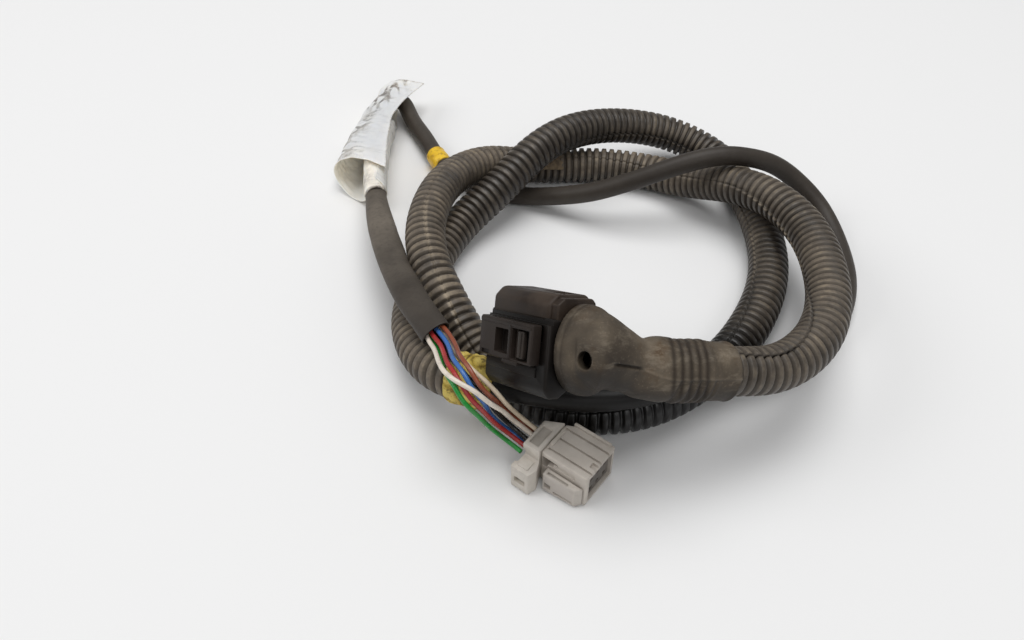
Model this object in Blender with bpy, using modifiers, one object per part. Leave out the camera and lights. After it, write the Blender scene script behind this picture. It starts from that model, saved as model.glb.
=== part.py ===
"""Wiring harness: a loose coil of split corrugated conduit and thin sleeve between two connectors.

Lengths are written in millimetres and turned to metres when the shapes are made. Z is up and the
harness lies on the plane z = 0. Tubes follow smooth curves through the route points below.
"""

import math

import bmesh
import bpy
import numpy as np
from mathutils import Matrix, Vector

MM = 0.001
OBJECT_NAME = "wiring_harness"

# Middle of the footprint, so that the origin lies under the centre of the whole object.
ORIGIN = (-14.365, 17.703, -0.032)

CONDUIT_RADIUS = 8.0
SLEEVE_RADIUS = 4.1
WIRE_RADIUS = 0.8
CLEARANCE = 0.3

# Black connector: its axis runs from the mating end to the boot, its upper side carries the hood.
BOOT_REAR = (-22.4, -90.4, 57.0)
CONNECTOR_AXIS = (0.61, -0.645, 0.46)
CONNECTOR_UP = (0.085, 0.631, 0.772)
CONNECTOR_LENGTH = 40.0
BOOT_HEAD_RADIUS = 13.75
BOOT_HEAD_LENGTH = 9.0
BOOT_WALL = 1.8
BOOT_HOLE_RADIUS = 3.0
BOOT_HEAD_SHIFT = 3.6
BOOT_HEAD_NARROWING = 0.748
BUNDLE_RADIUS = 5.2
COLLAR_RADIUS = CONDUIT_RADIUS + 1.2
COLLAR_BORE = CONDUIT_RADIUS + 0.35

# Grey connector: it lies flat, and its corner nearest the viewer at the mating end is the local origin.
GREY_CORNER = (-21.5, -106.0, 0.0)
GREY_AXIS = (0.79, -0.613, 0.0)
GREY_HEIGHT = 15.0
GREY_COVER_HEIGHT = 16.2

TAPE_BAND_RADIUS = CONDUIT_RADIUS + 0.8
MARKER_RADIUS = SLEEVE_RADIUS + 0.8
LABEL_THICKNESS = 0.5

COLOURS = {
    "connector_housing": (0.020, 0.018, 0.017),
    "connector_hood": (0.040, 0.035, 0.031),
    "lock_slide": (0.028, 0.025, 0.023),
    "lock_tongue": (0.050, 0.046, 0.042),
    "terminal_carrier": (0.060, 0.058, 0.055),
    "interface_seal": (0.110, 0.050, 0.030),
    "rubber_boot": (0.078, 0.064, 0.052),
    "boot_wire_bundle": (0.030, 0.030, 0.030),
    "conduit": (0.065, 0.053, 0.045),
    "saddle_strip": (0.150, 0.115, 0.080),
    "cloth_tape_band": (0.560, 0.430, 0.070),
    "thin_sleeve": (0.070, 0.060, 0.053),
    "marker_tape": (0.760, 0.470, 0.010),
    "flag_label": (0.800, 0.760, 0.690),
    "wire_brown": (0.250, 0.068, 0.034),
    "wire_blue": (0.050, 0.155, 0.430),
    "wire_red": (0.360, 0.036, 0.034),
    "wire_white": (0.720, 0.640, 0.540),
    "wire_cream": (0.700, 0.600, 0.460),
    "wire_black": (0.015, 0.014, 0.013),
    "wire_green": (0.010, 0.260, 0.035),
    "grey_housing": (0.270, 0.240, 0.210),
    "grey_rear_cover": (0.250, 0.220, 0.195),
    "grey_latch_panel": (0.330, 0.300, 0.280),
    "grey_terminal_carrier": (0.180, 0.165, 0.150),
}

CONDUIT_ROUTE = (
    (12.5, -85, 43.3), (26.5, -81.3, 38.8), (37.5, -77.5, 35.3), (48.5, -70.5, 33),
    (59, -59, 31.5), (67, -43, 30), (72, -19, 28.3), (71, 6.5, 26.7),
    (62.5, 26, 25.5), (51, 41.5, 20.7), (36, 57, 12), (17, 69.5, 8.2),
    (-3, 74.3, 8), (-22.5, 74.3, 8), (-40, 71.5, 10.2), (-55, 64.7, 15.8),
    (-66.5, 53, 20.2), (-74, 38.5, 23.4), (-78.5, 21, 25.2), (-79.5, 2, 25.5),
    (-76, -16, 24.3), (-69, -31.5, 20), (-60, -45.5, 13.5), (-49, -58.5, 9),
    (-35, -68.8, 8), (-15, -73.3, 8), (3.5, -69.7, 8), (20.5, -59.6, 8),
    (37, -44, 8), (50.5, -24, 8), (59.8, -1, 8), (63, 25, 8),
    (60.5, 55, 8), (51.5, 79.5, 9), (33.5, 91, 13.5), (11, 90, 19.5),
    (-9.5, 82, 23.8), (-24, 71.6, 25.5), (-34.5, 62, 24), (-43.8, 52.2, 20.3),
    (-53.7, 42, 15.5), (-64.2, 31.2, 11.3), (-73.6, 16, 8.6), (-80.5, -4, 8),
    (-83.3, -23.5, 9.3), (-81.3, -41.5, 12.5), (-75.3, -56, 16), (-66, -66, 19.2),
    (-56, -70.5, 20.5),
)

SLEEVE_ROUTE = (
    (-55.2, -70.9, 20.5), (-48, -73.1, 20.6), (-35.5, -76, 20.6), (-19, -78, 20.6),
    (-2, -76, 20.8), (15, -68.8, 20.8), (31, -61, 19), (48, -53, 13),
    (65.7, -41.3, 6.5), (81, -27, 4.3), (91, -7, 4.2), (95.5, 19, 4.2),
    (91.5, 40.5, 9), (78, 49.5, 20), (59.5, 48, 30), (41, 45.3, 32.5),
    (23, 43, 28.5), (6, 42, 22), (-10.5, 44.5, 14.5), (-27, 50.5, 8),
    (-45, 56, 4.4), (-61, 61.9, 4.4), (-75.2, 74.5, 5.1), (-86.3, 96.5, 5.2),
    (-92.3, 110, 4.9), (-97, 120.5, 5.1), (-99.8, 127.6, 6.2), (-102.6, 131.6, 7.6),
    (-106, 131.3, 9.1), (-108.4, 127, 10.3), (-109.3, 119, 11.3), (-109.5, 105, 12.3),
    (-109.2, 85, 13.6), (-108, 62, 15), (-105, 42, 16.7), (-97.5, 9, 21),
    (-90.2, -15, 25), (-82, -36.4, 29), (-71.1, -57.5, 31),
)

WIRE_ROUTES = {
    "brown": (
        (-68.2, -56.3, 32.4), (-66.0, -60.4, 33.1), (-64.1, -65.2, 34.3), (-63.0, -69.3, 35.9),
        (-62.1, -73.1, 37.8), (-60.4, -77.4, 39.4), (-58.1, -81.3, 39.1), (-55.4, -84.7, 36.5),
        (-52.8, -85.6, 32.9), (-50.8, -84.6, 28.9), (-49.1, -82.8, 24.5), (-47.6, -81.8, 20.6),
        (-45.4, -80.8, 16.4), (-40.6, -82.2, 12.3), (-36.8, -85.4, 11.7),
    ),
    "blue": (
        (-69.9, -57.5, 31.5), (-67.8, -61.5, 32.4), (-66.1, -66.1, 33.8), (-65.1, -70.2, 35.3),
        (-64.1, -74.2, 37.0), (-62.2, -78.6, 38.4), (-59.9, -82.5, 38.1), (-57.3, -85.8, 35.3),
        (-54.8, -86.8, 31.6), (-53.4, -86.2, 27.4), (-52.4, -85.1, 22.5), (-50.7, -84.3, 18.4),
        (-48.4, -83.5, 14.1), (-43.4, -85.0, 9.8), (-39.6, -88.3, 9.1),
    ),
    "red": (
        (-71.6, -58.7, 30.6), (-69.6, -62.5, 31.6), (-68.1, -66.9, 33.2), (-67.1, -71.0, 34.7),
        (-65.9, -75.3, 36.1), (-63.9, -79.8, 37.4), (-61.7, -83.7, 37.0), (-59.0, -87.0, 34.3),
        (-56.4, -88.1, 30.6), (-54.1, -88.0, 26.8), (-51.9, -87.5, 22.3), (-49.9, -86.7, 18.2),
        (-47.7, -85.8, 14.3), (-44.2, -86.8, 11.2), (-40.8, -89.7, 10.7),
    ),
    "white": (
        (-73.3, -59.9, 29.7), (-71.7, -63.6, 30.9), (-70.4, -67.8, 32.7), (-69.5, -71.7, 34.7),
        (-68.4, -76.0, 36.6), (-66.3, -81.0, 38.2), (-62.5, -84.9, 38.4), (-57.0, -87.4, 36.5),
        (-53.2, -88.1, 32.7), (-50.6, -87.3, 28.7), (-48.1, -85.8, 24.4), (-46.3, -84.6, 20.4),
        (-44.6, -83.5, 16.6), (-41.4, -84.1, 13.5), (-38.0, -86.9, 12.8),
    ),
    "cream": (
        (-68.2, -56.8, 30.2), (-66.1, -61.1, 31.0), (-64.4, -66.1, 32.3), (-63.0, -70.1, 33.9),
        (-61.4, -73.7, 35.7), (-59.4, -77.2, 37.3), (-57.3, -80.1, 37.6), (-54.2, -82.5, 36.4),
        (-51.7, -83.2, 33.5), (-49.3, -83.6, 29.8), (-46.9, -83.6, 25.3), (-45.2, -82.6, 21.4),
        (-43.4, -81.6, 17.6), (-40.1, -82.6, 14.5), (-36.7, -85.5, 13.9),
    ),
    "black": (
        (-69.9, -58.0, 29.3), (-67.9, -62.1, 30.3), (-66.4, -66.9, 31.7), (-65.0, -71.0, 33.3),
        (-63.3, -74.7, 34.9), (-61.2, -78.5, 36.3), (-59.2, -81.2, 36.2), (-56.6, -83.3, 34.5),
        (-54.4, -83.9, 31.7), (-52.6, -84.2, 28.0), (-50.9, -84.1, 23.4), (-49.1, -83.5, 19.4),
        (-46.7, -83.2, 15.2), (-42.7, -85.1, 12.0), (-39.4, -88.2, 11.6),
    ),
    "green": (
        (-71.6, -59.2, 28.4), (-70.0, -63.3, 29.5), (-68.8, -67.8, 31.3), (-68.1, -72.0, 33.0),
        (-67.2, -76.4, 34.5), (-65.4, -80.9, 35.8), (-63.3, -84.6, 35.6), (-60.7, -88.2, 33.3),
        (-57.9, -89.5, 29.7), (-55.7, -89.2, 25.9), (-53.5, -88.6, 21.4), (-51.4, -87.8, 17.2),
        (-49.1, -87.1, 13.2), (-45.5, -88.2, 10.1), (-42.1, -91.1, 9.6),
    ),
}

# Middle of the boot's elbow, from the head to the narrow part of its neck.
ELBOW_POINTS = (
    (-19.0, -87.1, 54.2), (-13.1, -87.9, 53.0), (-5.0, -88.1, 49.5),
)

# The flag label: sections from its open lower end to its top, as (y, skew, points across and up).
# Points go from the free edge on top, over the left side, along the table and round the sleeve.
LABEL_SECTIONS = (
    (41.5, -0.82, ((-101.0, 22.4), (-108.0, 22.3), (-116.5, 20.6), (-124.0, 16.5), (-128.2, 10.5), (-125.0, 3.2),
                   (-117.5, 0.6), (-112.4, 4.2), (-110.8, 9.4), (-108.6, 10.9), (-105.0, 11.0), (-101.4, 12.8),
                   (-99.9, 16.6), (-101.2, 20.0), (-105.2, 21.5))),
    (55.0, -0.62, ((-102.0, 21.2), (-108.5, 21.0), (-116.5, 19.4), (-123.5, 15.5), (-127.4, 10.0), (-124.4, 3.0),
                   (-117.5, 0.6), (-112.4, 3.4), (-110.2, 8.0), (-108.6, 10.0), (-105.4, 10.0), (-102.6, 11.8),
                   (-101.6, 15.4), (-102.8, 18.6), (-105.4, 20.0))),
    (72.0, -0.40, ((-103.2, 19.8), (-109.5, 19.8), (-116.5, 18.0), (-122.6, 14.6), (-126.2, 9.6), (-123.4, 3.0),
                   (-117.5, 0.6), (-113.0, 1.6), (-110.0, 4.6), (-108.0, 7.2), (-105.4, 8.0), (-103.4, 10.4),
                   (-102.6, 14.0), (-103.6, 17.2), (-106.4, 18.8))),
    (90.0, -0.20, ((-103.6, 18.8), (-110.0, 18.9), (-116.0, 17.0), (-121.4, 13.6), (-124.2, 9.0), (-121.8, 2.8),
                   (-117.0, 0.6), (-113.0, 1.0), (-109.6, 2.6), (-107.0, 4.8), (-105.2, 6.6), (-104.0, 9.0),
                   (-103.4, 12.6), (-104.0, 15.8), (-106.6, 17.7))),
    (104.0, -0.08, ((-103.2, 17.8), (-109.5, 17.9), (-115.0, 16.2), (-119.8, 12.8), (-121.9, 8.6), (-120.2, 2.8),
                    (-116.5, 0.6), (-112.8, 0.7), (-109.4, 1.2), (-106.8, 2.4), (-105.0, 4.0), (-104.0, 6.2),
                    (-103.6, 8.8), (-103.6, 11.6), (-103.8, 13.8))),
    (111.0, -0.04, ((-101.6, 17.4), (-108.5, 17.3), (-114.0, 15.8), (-118.4, 12.4), (-120.4, 8.4), (-119.0, 2.8),
                    (-116.0, 0.6), (-113.4, 0.6), (-111.0, 0.6), (-109.0, 0.8), (-107.4, 1.2), (-106.0, 2.0),
                    (-105.0, 3.2), (-104.4, 4.6), (-104.2, 6.4))),
    (118.0, 0.0, ((-99.6, 16.8), (-107.0, 16.9), (-113.0, 15.4), (-117.2, 12.0), (-119.0, 8.2), (-117.8, 2.8),
                  (-115.4, 0.6), (-113.8, 0.6), (-112.2, 0.6), (-110.8, 0.6), (-109.4, 0.6), (-108.2, 0.6),
                  (-107.0, 0.6), (-105.8, 0.6), (-104.6, 0.6))),
    (128.0, 0.0, ((-96.0, 15.4), (-105.0, 16.0), (-111.0, 14.8), (-115.4, 11.6), (-117.2, 8.0), (-116.4, 2.8),
                  (-114.6, 0.6), (-113.2, 0.6), (-112.0, 0.6), (-110.8, 0.6), (-109.6, 0.6), (-108.6, 0.6),
                  (-107.6, 0.6), (-106.6, 0.6), (-105.6, 0.6))),
    (141.0, 0.10, ((-91.5, 12.6), (-102.0, 15.2), (-109.0, 14.2), (-113.6, 11.2), (-115.6, 7.8), (-115.0, 2.8),
                   (-113.4, 0.6), (-112.4, 0.6), (-111.4, 0.6), (-110.4, 0.6), (-109.4, 0.6), (-108.6, 0.6),
                   (-107.8, 0.6), (-107.0, 0.6), (-106.2, 0.6))),
)

# How far each point of a label section is drawn back from its lower end, and each section's share of it.
LABEL_TRIM = (10.0, 9.5, 8.0, 6.0, 3.5, 1.5, 1.5, 1.0, 0.0, 0.0, 0.0, 0.0, 0.0, 0.0, 0.0)
TRIM_SHARES = (1.0, 0.72, 0.42, 0.16, 0.0, 0.0, 0.0, 0.0, 0.0)


def metres(point):
    """Turns a route point in millimetres into metres about the object's origin."""
    return Vector([(value - shift) * MM for value, shift in zip(point, ORIGIN)])


def smooth_curve(points, per_span=20):
    """Returns a smooth curve through the points: a natural cubic spline over chord length."""
    known = np.array(points, float)
    steps = np.linalg.norm(np.diff(known, axis=0), axis=1)
    count = len(known)
    matrix = np.eye(count)
    right = np.zeros_like(known)
    for i in range(1, count - 1):
        matrix[i, i - 1] = steps[i - 1]
        matrix[i, i] = 2 * (steps[i - 1] + steps[i])
        matrix[i, i + 1] = steps[i]
        right[i] = 6 * ((known[i + 1] - known[i]) / steps[i] - (known[i] - known[i - 1]) / steps[i - 1])
    bend = np.linalg.solve(matrix, right)
    rows = []
    for i, step in enumerate(steps):
        after = np.linspace(0, step, per_span, endpoint=False)[:, None]
        before = step - after
        rows.append(
            bend[i] * before ** 3 / (6 * step)
            + bend[i + 1] * after ** 3 / (6 * step)
            + (known[i] / step - bend[i] * step / 6) * before
            + (known[i + 1] / step - bend[i + 1] * step / 6) * after
        )
    rows.append(known[-1:])
    return np.vstack(rows)


def even_points(curve, count):
    """Spreads the given number of points evenly along a curve."""
    along = np.r_[0, np.cumsum(np.linalg.norm(np.diff(curve, axis=0), axis=1))]
    wanted = np.linspace(0, along[-1], count)
    return np.stack([np.interp(wanted, along, curve[:, k]) for k in range(3)], axis=1)


def stretch_near(curve, centre, half_length, count):
    """Cuts the piece of a curve that lies within half_length of its point nearest to centre."""
    along = np.r_[0, np.cumsum(np.linalg.norm(np.diff(curve, axis=0), axis=1))]
    middle = along[np.argmin(np.linalg.norm(curve - np.array(centre), axis=1))]
    wanted = np.linspace(middle - half_length, middle + half_length, count)
    return np.stack([np.interp(wanted, along, curve[:, k]) for k in range(3)], axis=1)


def section_frames(path):
    """Returns the side and upward directions across a path at each of its points."""
    ahead = np.gradient(path, axis=0)
    ahead /= np.linalg.norm(ahead, axis=1)[:, None]
    side = np.cross(ahead, (0.0, 0.0, 1.0))
    side /= np.linalg.norm(side, axis=1)[:, None]
    return side, np.cross(side, ahead)


def make_material(name):
    """Makes the Principled material of one node."""
    material = bpy.data.materials.new(name)
    material.use_nodes = True
    shader = material.node_tree.nodes["Principled BSDF"]
    shader.inputs["Base Color"].default_value = (*COLOURS[name], 1.0)
    shader.inputs["Roughness"].default_value = 0.55
    return material


def add_object(name, data, collection):
    """Links new object data into a collection under the given name."""
    item = bpy.data.objects.new(name, data)
    collection.objects.link(item)
    return item


def mesh_object(name, vertices, faces, collection):
    """Makes a mesh object from vertices in metres, with its faces turned outwards."""
    mesh = bpy.data.meshes.new(name)
    mesh.from_pydata([tuple(v) for v in vertices], [], faces)
    work = bmesh.new()
    work.from_mesh(mesh)
    bmesh.ops.recalc_face_normals(work, faces=work.faces)
    work.to_mesh(mesh)
    work.free()
    mesh.update()
    return add_object(name, mesh, collection)


def tube(name, path, radius, resolution, collection):
    """Makes a round solid tube with flat ends along a path in millimetres."""
    curve = bpy.data.curves.new(name, "CURVE")
    curve.dimensions = "3D"
    curve.bevel_depth = radius * MM
    curve.bevel_resolution = resolution
    curve.use_fill_caps = True
    line = curve.splines.new("POLY")
    line.points.add(len(path) - 1)
    for point, place in zip(line.points, path):
        point.co = (*metres(place), 1.0)
    return add_object(name, curve, collection)


def ring(centre, side, up, radius, sides, start=0.0, sweep=2 * math.pi):
    """Returns points of a circle, or of an arc, across a path."""
    share = sides if sweep >= 2 * math.pi - 1e-6 else sides - 1
    angles = [start + sweep * i / share for i in range(sides)]
    return [metres(centre + radius * (math.cos(a) * side + math.sin(a) * up)) for a in angles]


def swept_solid(name, path, radii, sides, collection):
    """Makes a solid of changing round section along a path in millimetres."""
    side, up = section_frames(path)
    vertices = []
    for centre, s, u, radius in zip(path, side, up, radii):
        vertices += ring(centre, s, u, radius, sides)
    faces = []
    for i in range(len(path) - 1):
        for j in range(sides):
            k = (j + 1) % sides
            faces.append((i * sides + j, i * sides + k, (i + 1) * sides + k, (i + 1) * sides + j))
    faces.append(tuple(range(sides)))
    faces.append(tuple((len(path) - 1) * sides + j for j in range(sides)))
    return mesh_object(name, vertices, faces, collection)


def swept_shell(name, path, outer, inner, sides, collection):
    """Makes a hollow round shell along a path, open at both ends."""
    side, up = section_frames(path)
    vertices = []
    for centre, s, u, big, small in zip(path, side, up, outer, inner):
        vertices += ring(centre, s, u, big, sides)
        vertices += ring(centre, s, u, small, sides)
    faces = []
    step = 2 * sides
    for i in range(len(path) - 1):
        for j in range(sides):
            k = (j + 1) % sides
            faces.append((i * step + j, i * step + k, (i + 1) * step + k, (i + 1) * step + j))
            faces.append((i * step + sides + k, i * step + sides + j,
                          (i + 1) * step + sides + j, (i + 1) * step + sides + k))
    last = (len(path) - 1) * step
    for j in range(sides):
        k = (j + 1) % sides
        faces.append((k, j, sides + j, sides + k))
        faces.append((last + j, last + k, last + sides + k, last + sides + j))
    return mesh_object(name, vertices, faces, collection)


def swept_strip(name, path, inner, outer, start, sweep, sides, collection):
    """Makes a strip bent over part of a tube: an arc of a shell along a path."""
    side, up = section_frames(path)
    vertices = []
    for centre, s, u in zip(path, side, up):
        vertices += ring(centre, s, u, outer, sides, start, sweep)
        vertices += list(reversed(ring(centre, s, u, inner, sides, start, sweep)))
    step = 2 * sides
    faces = []
    for i in range(len(path) - 1):
        for j in range(step):
            k = (j + 1) % step
            faces.append((i * step + j, i * step + k, (i + 1) * step + k, (i + 1) * step + j))
    for base in (0, (len(path) - 1) * step):
        for j in range(sides - 1):
            faces.append((base + j, base + j + 1, base + step - 2 - j, base + step - 1 - j))
    return mesh_object(name, vertices, faces, collection)


def local_frame(corner, x_axis, z_axis):
    """Returns the matrix of a local frame: millimetres in it become metres about the origin."""
    z = Vector(z_axis).normalized()
    x = Vector(x_axis).normalized()
    y = z.cross(x).normalized()
    x = y.cross(z)
    turn = Matrix((x, y, z)).transposed().to_4x4()
    return Matrix.Translation(metres(corner)) @ turn @ Matrix.Scale(MM, 4)


def prism(name, frame, outline, low, high, collection, bevel=0.0):
    """Extrudes an outline in the local XY plane from low to high along local Z, in millimetres."""
    count = len(outline)
    vertices = [(x, y, low) for x, y in outline] + [(x, y, high) for x, y in outline]
    faces = [tuple(range(count)), tuple(range(count, 2 * count))]
    for j in range(count):
        k = (j + 1) % count
        faces.append((j, k, count + k, count + j))
    placed = [frame @ Vector(v) for v in vertices]
    item = mesh_object(name, placed, faces, collection)
    if bevel:
        rounding = item.modifiers.new("edges", "BEVEL")
        rounding.width = bevel * MM
        rounding.segments = 2
        rounding.limit_method = "ANGLE"
    return item


def box(name, frame, low, high, collection, bevel=0.0):
    """Makes a box between two local corners, in millimetres."""
    outline = ((low[0], low[1]), (high[0], low[1]), (high[0], high[1]), (low[0], high[1]))
    return prism(name, frame, outline, low[2], high[2], collection, bevel)


def turned(name, frame, profile, sides, collection, shift=0.0, narrowing=1.0):
    """Makes a solid of revolution about local Z from (radius, height) pairs that start and end on it.

    A narrowing below 1 makes it oval: narrower along local X, with its middle shifted that way.
    """
    inner = profile[1:-1]
    vertices = [frame @ Vector((shift, 0, profile[0][1]))]
    for radius, height in inner:
        for j in range(sides):
            angle = 2 * math.pi * j / sides
            x = shift + radius * math.cos(angle) * narrowing
            vertices.append(frame @ Vector((x, radius * math.sin(angle), height)))
    vertices.append(frame @ Vector((shift, 0, profile[-1][1])))
    faces = []
    for j in range(sides):
        k = (j + 1) % sides
        faces.append((0, 1 + k, 1 + j))
        top = 1 + (len(inner) - 1) * sides
        faces.append((len(vertices) - 1, top + j, top + k))
        for i in range(len(inner) - 1):
            low, high = 1 + i * sides, 1 + (i + 1) * sides
            faces.append((low + j, low + k, high + k, high + j))
    return mesh_object(name, vertices, faces, collection)


def collar_point(x):
    """Returns the point at a given x on the straight middle line of the boot's collar."""
    start = np.array((12.5, -85.0, 43.3))
    turn = np.array((0.9215, 0.2435, -0.2962))
    return tuple(start + turn * (x - start[0]) / turn[0])


def combine(target, tool, operation):
    """Adds an exact boolean of target with tool, which stays as a hidden construction shape."""
    change = target.modifiers.new(tool.name, "BOOLEAN")
    change.operation = operation
    change.solver = "EXACT"
    change.object = tool
    tool.hide_render = True
    tool.display_type = "WIRE"


class Harness:
    """Builds every piece of the harness in its collections."""

    def __init__(self):
        for item in list(bpy.data.objects):
            bpy.data.objects.remove(item, do_unlink=True)
        self.parts = bpy.data.collections.new(OBJECT_NAME)
        self.cutters = bpy.data.collections.new("cutters")
        bpy.context.scene.collection.children.link(self.parts)
        bpy.context.scene.collection.children.link(self.cutters)
        self.conduit_curve = smooth_curve(CONDUIT_ROUTE)
        self.sleeve_curve = smooth_curve(SLEEVE_ROUTE)
        x_axis = Vector(CONNECTOR_UP).cross(Vector(CONNECTOR_AXIS))
        self.black = local_frame(BOOT_REAR, x_axis, CONNECTOR_AXIS)
        self.grey = local_frame(GREY_CORNER, GREY_AXIS, (0, 0, 1))

    def finish(self, item):
        """Gives a finished piece its material."""
        item.data.materials.append(make_material(item.name))

    def build_tubes(self):
        """Makes the conduit, the thin sleeve, the tapes and the strip over the conduit."""
        conduit_path = even_points(self.conduit_curve, 80)
        sleeve_path = even_points(self.sleeve_curve, 80)
        self.finish(tube("conduit", conduit_path, CONDUIT_RADIUS, 4, self.parts))
        self.finish(tube("thin_sleeve", sleeve_path, SLEEVE_RADIUS, 3, self.parts))
        strip_path = stretch_near(self.conduit_curve, (-31.0, 74.0, 9.0), 8.0, 5)
        self.finish(swept_strip("saddle_strip", strip_path, CONDUIT_RADIUS + 0.35, CONDUIT_RADIUS + 0.95,
                                math.radians(-28), math.radians(64), 9, self.parts))
        end = self.conduit_curve[-1]
        back = stretch_near(self.conduit_curve, end, 9.0, 9)[:5]
        onward = (self.conduit_curve[-1] - self.conduit_curve[-2])
        onward /= np.linalg.norm(onward)
        ahead = [end + onward * step for step in (0.7, 1.5, 2.8, 4.0)]
        path = np.vstack([back, ahead])
        outer = [TAPE_BAND_RADIUS] * 6 + [TAPE_BAND_RADIUS - drop for drop in (0.4, 1.4, 2.4)]
        inner = [CONDUIT_RADIUS + 0.35] * 6 + [SLEEVE_RADIUS + 0.7] * 3
        self.finish(swept_shell("cloth_tape_band", path, outer, inner, 24, self.parts))
        marker_path = stretch_near(self.sleeve_curve, (-81.2, 86.9, 4.2), 7.0, 5)
        self.finish(swept_shell("marker_tape", marker_path, [MARKER_RADIUS] * 5,
                                [SLEEVE_RADIUS + CLEARANCE] * 5, 20, self.parts))

    def build_wires(self):
        """Makes the loose wires between the cut sleeve and the grey connector."""
        for colour, route in WIRE_ROUTES.items():
            path = even_points(smooth_curve(route), 28)
            self.finish(tube("wire_" + colour, path, WIRE_RADIUS, 2, self.parts))

    def build_label(self):
        """Makes the rolled flag label as a thin sheet with an even thickness."""
        rows = []
        for (y, skew, points), share in zip(LABEL_SECTIONS, TRIM_SHARES):
            section = smooth_curve([(x, trim * share, z) for (x, z), trim in zip(points, LABEL_TRIM)], 6)
            section = even_points(section, 30)
            rows.append([(x, y + back + skew * (x + 100.0), z) for x, back, z in section])
        middle = np.array(rows)
        along = np.gradient(middle, axis=0)
        around = np.gradient(middle, axis=1)
        normal = np.cross(along, around)
        normal /= np.linalg.norm(normal, axis=2)[:, :, None]
        outer = (middle + normal * LABEL_THICKNESS / 2).reshape(-1, 3)
        inner = (middle - normal * LABEL_THICKNESS / 2).reshape(-1, 3)
        count, width = middle.shape[:2]
        size = count * width
        faces = []
        for i in range(count - 1):
            for j in range(width - 1):
                a, b = i * width + j, i * width + j + 1
                c, d = (i + 1) * width + j + 1, (i + 1) * width + j
                faces.append((a, b, c, d))
                faces.append((size + d, size + c, size + b, size + a))
        rim = [j for j in range(width)] + [i * width + width - 1 for i in range(1, count)]
        rim += [(count - 1) * width + j for j in range(width - 2, -1, -1)]
        rim += [i * width for i in range(count - 2, 0, -1)]
        for here, after in zip(rim, rim[1:] + rim[:1]):
            faces.append((here, after, size + after, size + here))
        vertices = [metres(p) for p in np.vstack([outer, inner])]
        self.finish(mesh_object("flag_label", vertices, faces, self.parts))

    def build_black_connector(self):
        """Makes the black connector: housing, hood, lock, terminal carrier and seal."""
        end = -CONNECTOR_LENGTH
        outline = ((-8.0, -12.8), (-5.8, -15.5), (-2.0, -15.5), (12.5, -5.5), (12.5, 8.7), (-8.0, 8.7))
        housing = prism("connector_housing", self.black, outline, end, -9.5, self.parts, 0.7)
        spigot_profile = ((0, -10.5), (9.5, -10.5), (11.6, -9.4), (11.6, -5.6), (0, -5.6))
        spigot = turned("housing_spigot", self.black, spigot_profile, 36, self.cutters,
                        BOOT_HEAD_SHIFT, BOOT_HEAD_NARROWING)
        socket = box("housing_socket", self.black, (-6.2, -9.5, end - 1.0), (10.4, 6.9, end + 17.0),
                     self.cutters)
        socket_edge = box("socket_edge", self.black, (7.0, -12.0, end - 2.0), (14.0, -5.0, end + 18.0),
                          self.cutters)
        combine(socket, socket_edge, "DIFFERENCE")
        combine(housing, spigot, "UNION")
        combine(housing, socket, "DIFFERENCE")
        self.finish(housing)
        hood_outline = ((-4.0, 9.05), (11.0, 9.05), (11.0, 14.2), (9.6, 15.6), (-2.4, 15.6), (-4.0, 14.0))
        hood = prism("connector_hood", self.black, hood_outline, end, -10.9, self.parts, 0.5)
        self.finish(hood)
        front = end + 1.6
        lock_length = -12.4 - front
        slide = box("lock_slide", self.black, (-12.0, -5.7, front), (-8.35, 6.6, front + lock_length),
                    self.parts, 0.4)
        window = box("lock_window", self.black, (-13.0, -3.9, front + 0.273 * lock_length),
                     (-9.6, 3.7, front + 0.538 * lock_length), self.cutters)
        bay = box("tongue_bay", self.black, (-13.0, -5.0, front + 0.608 * lock_length),
                  (-9.6, 4.6, front + 0.931 * lock_length), self.cutters)
        combine(slide, window, "DIFFERENCE")
        combine(slide, bay, "DIFFERENCE")
        self.finish(slide)
        tongue = box("lock_tongue", self.black, (-11.9, -4.3, front + 0.731 * lock_length),
                     (-9.95, 4.0, front + 0.838 * lock_length), self.parts, 0.3)
        self.finish(tongue)
        carrier = box("terminal_carrier", self.black, (-4.8, -3.8, end + 1.0), (9.0, 5.5, end + 16.6),
                      self.parts, 0.4)
        for row in range(2):
            for place in range(4):
                x = -3.0 + 3.4 * place
                y = -1.6 + 4.8 * row
                hole = box("terminal_hole_%d_%d" % (row, place), self.black,
                           (x - 0.9, y - 0.9, end), (x + 0.9, y + 0.9, end + 7.0), self.cutters)
                combine(carrier, hole, "DIFFERENCE")
        self.finish(carrier)
        seal = box("interface_seal", self.black, (-5.8, -4.85, end + 7.5), (10.0, 6.5, end + 10.5),
                   self.parts, 0.3)
        hollow = box("seal_hollow", self.black, (-5.15, -4.15, end + 6.0), (9.35, 5.85, end + 12.0),
                     self.cutters)
        combine(seal, hollow, "DIFFERENCE")
        self.finish(seal)

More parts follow.
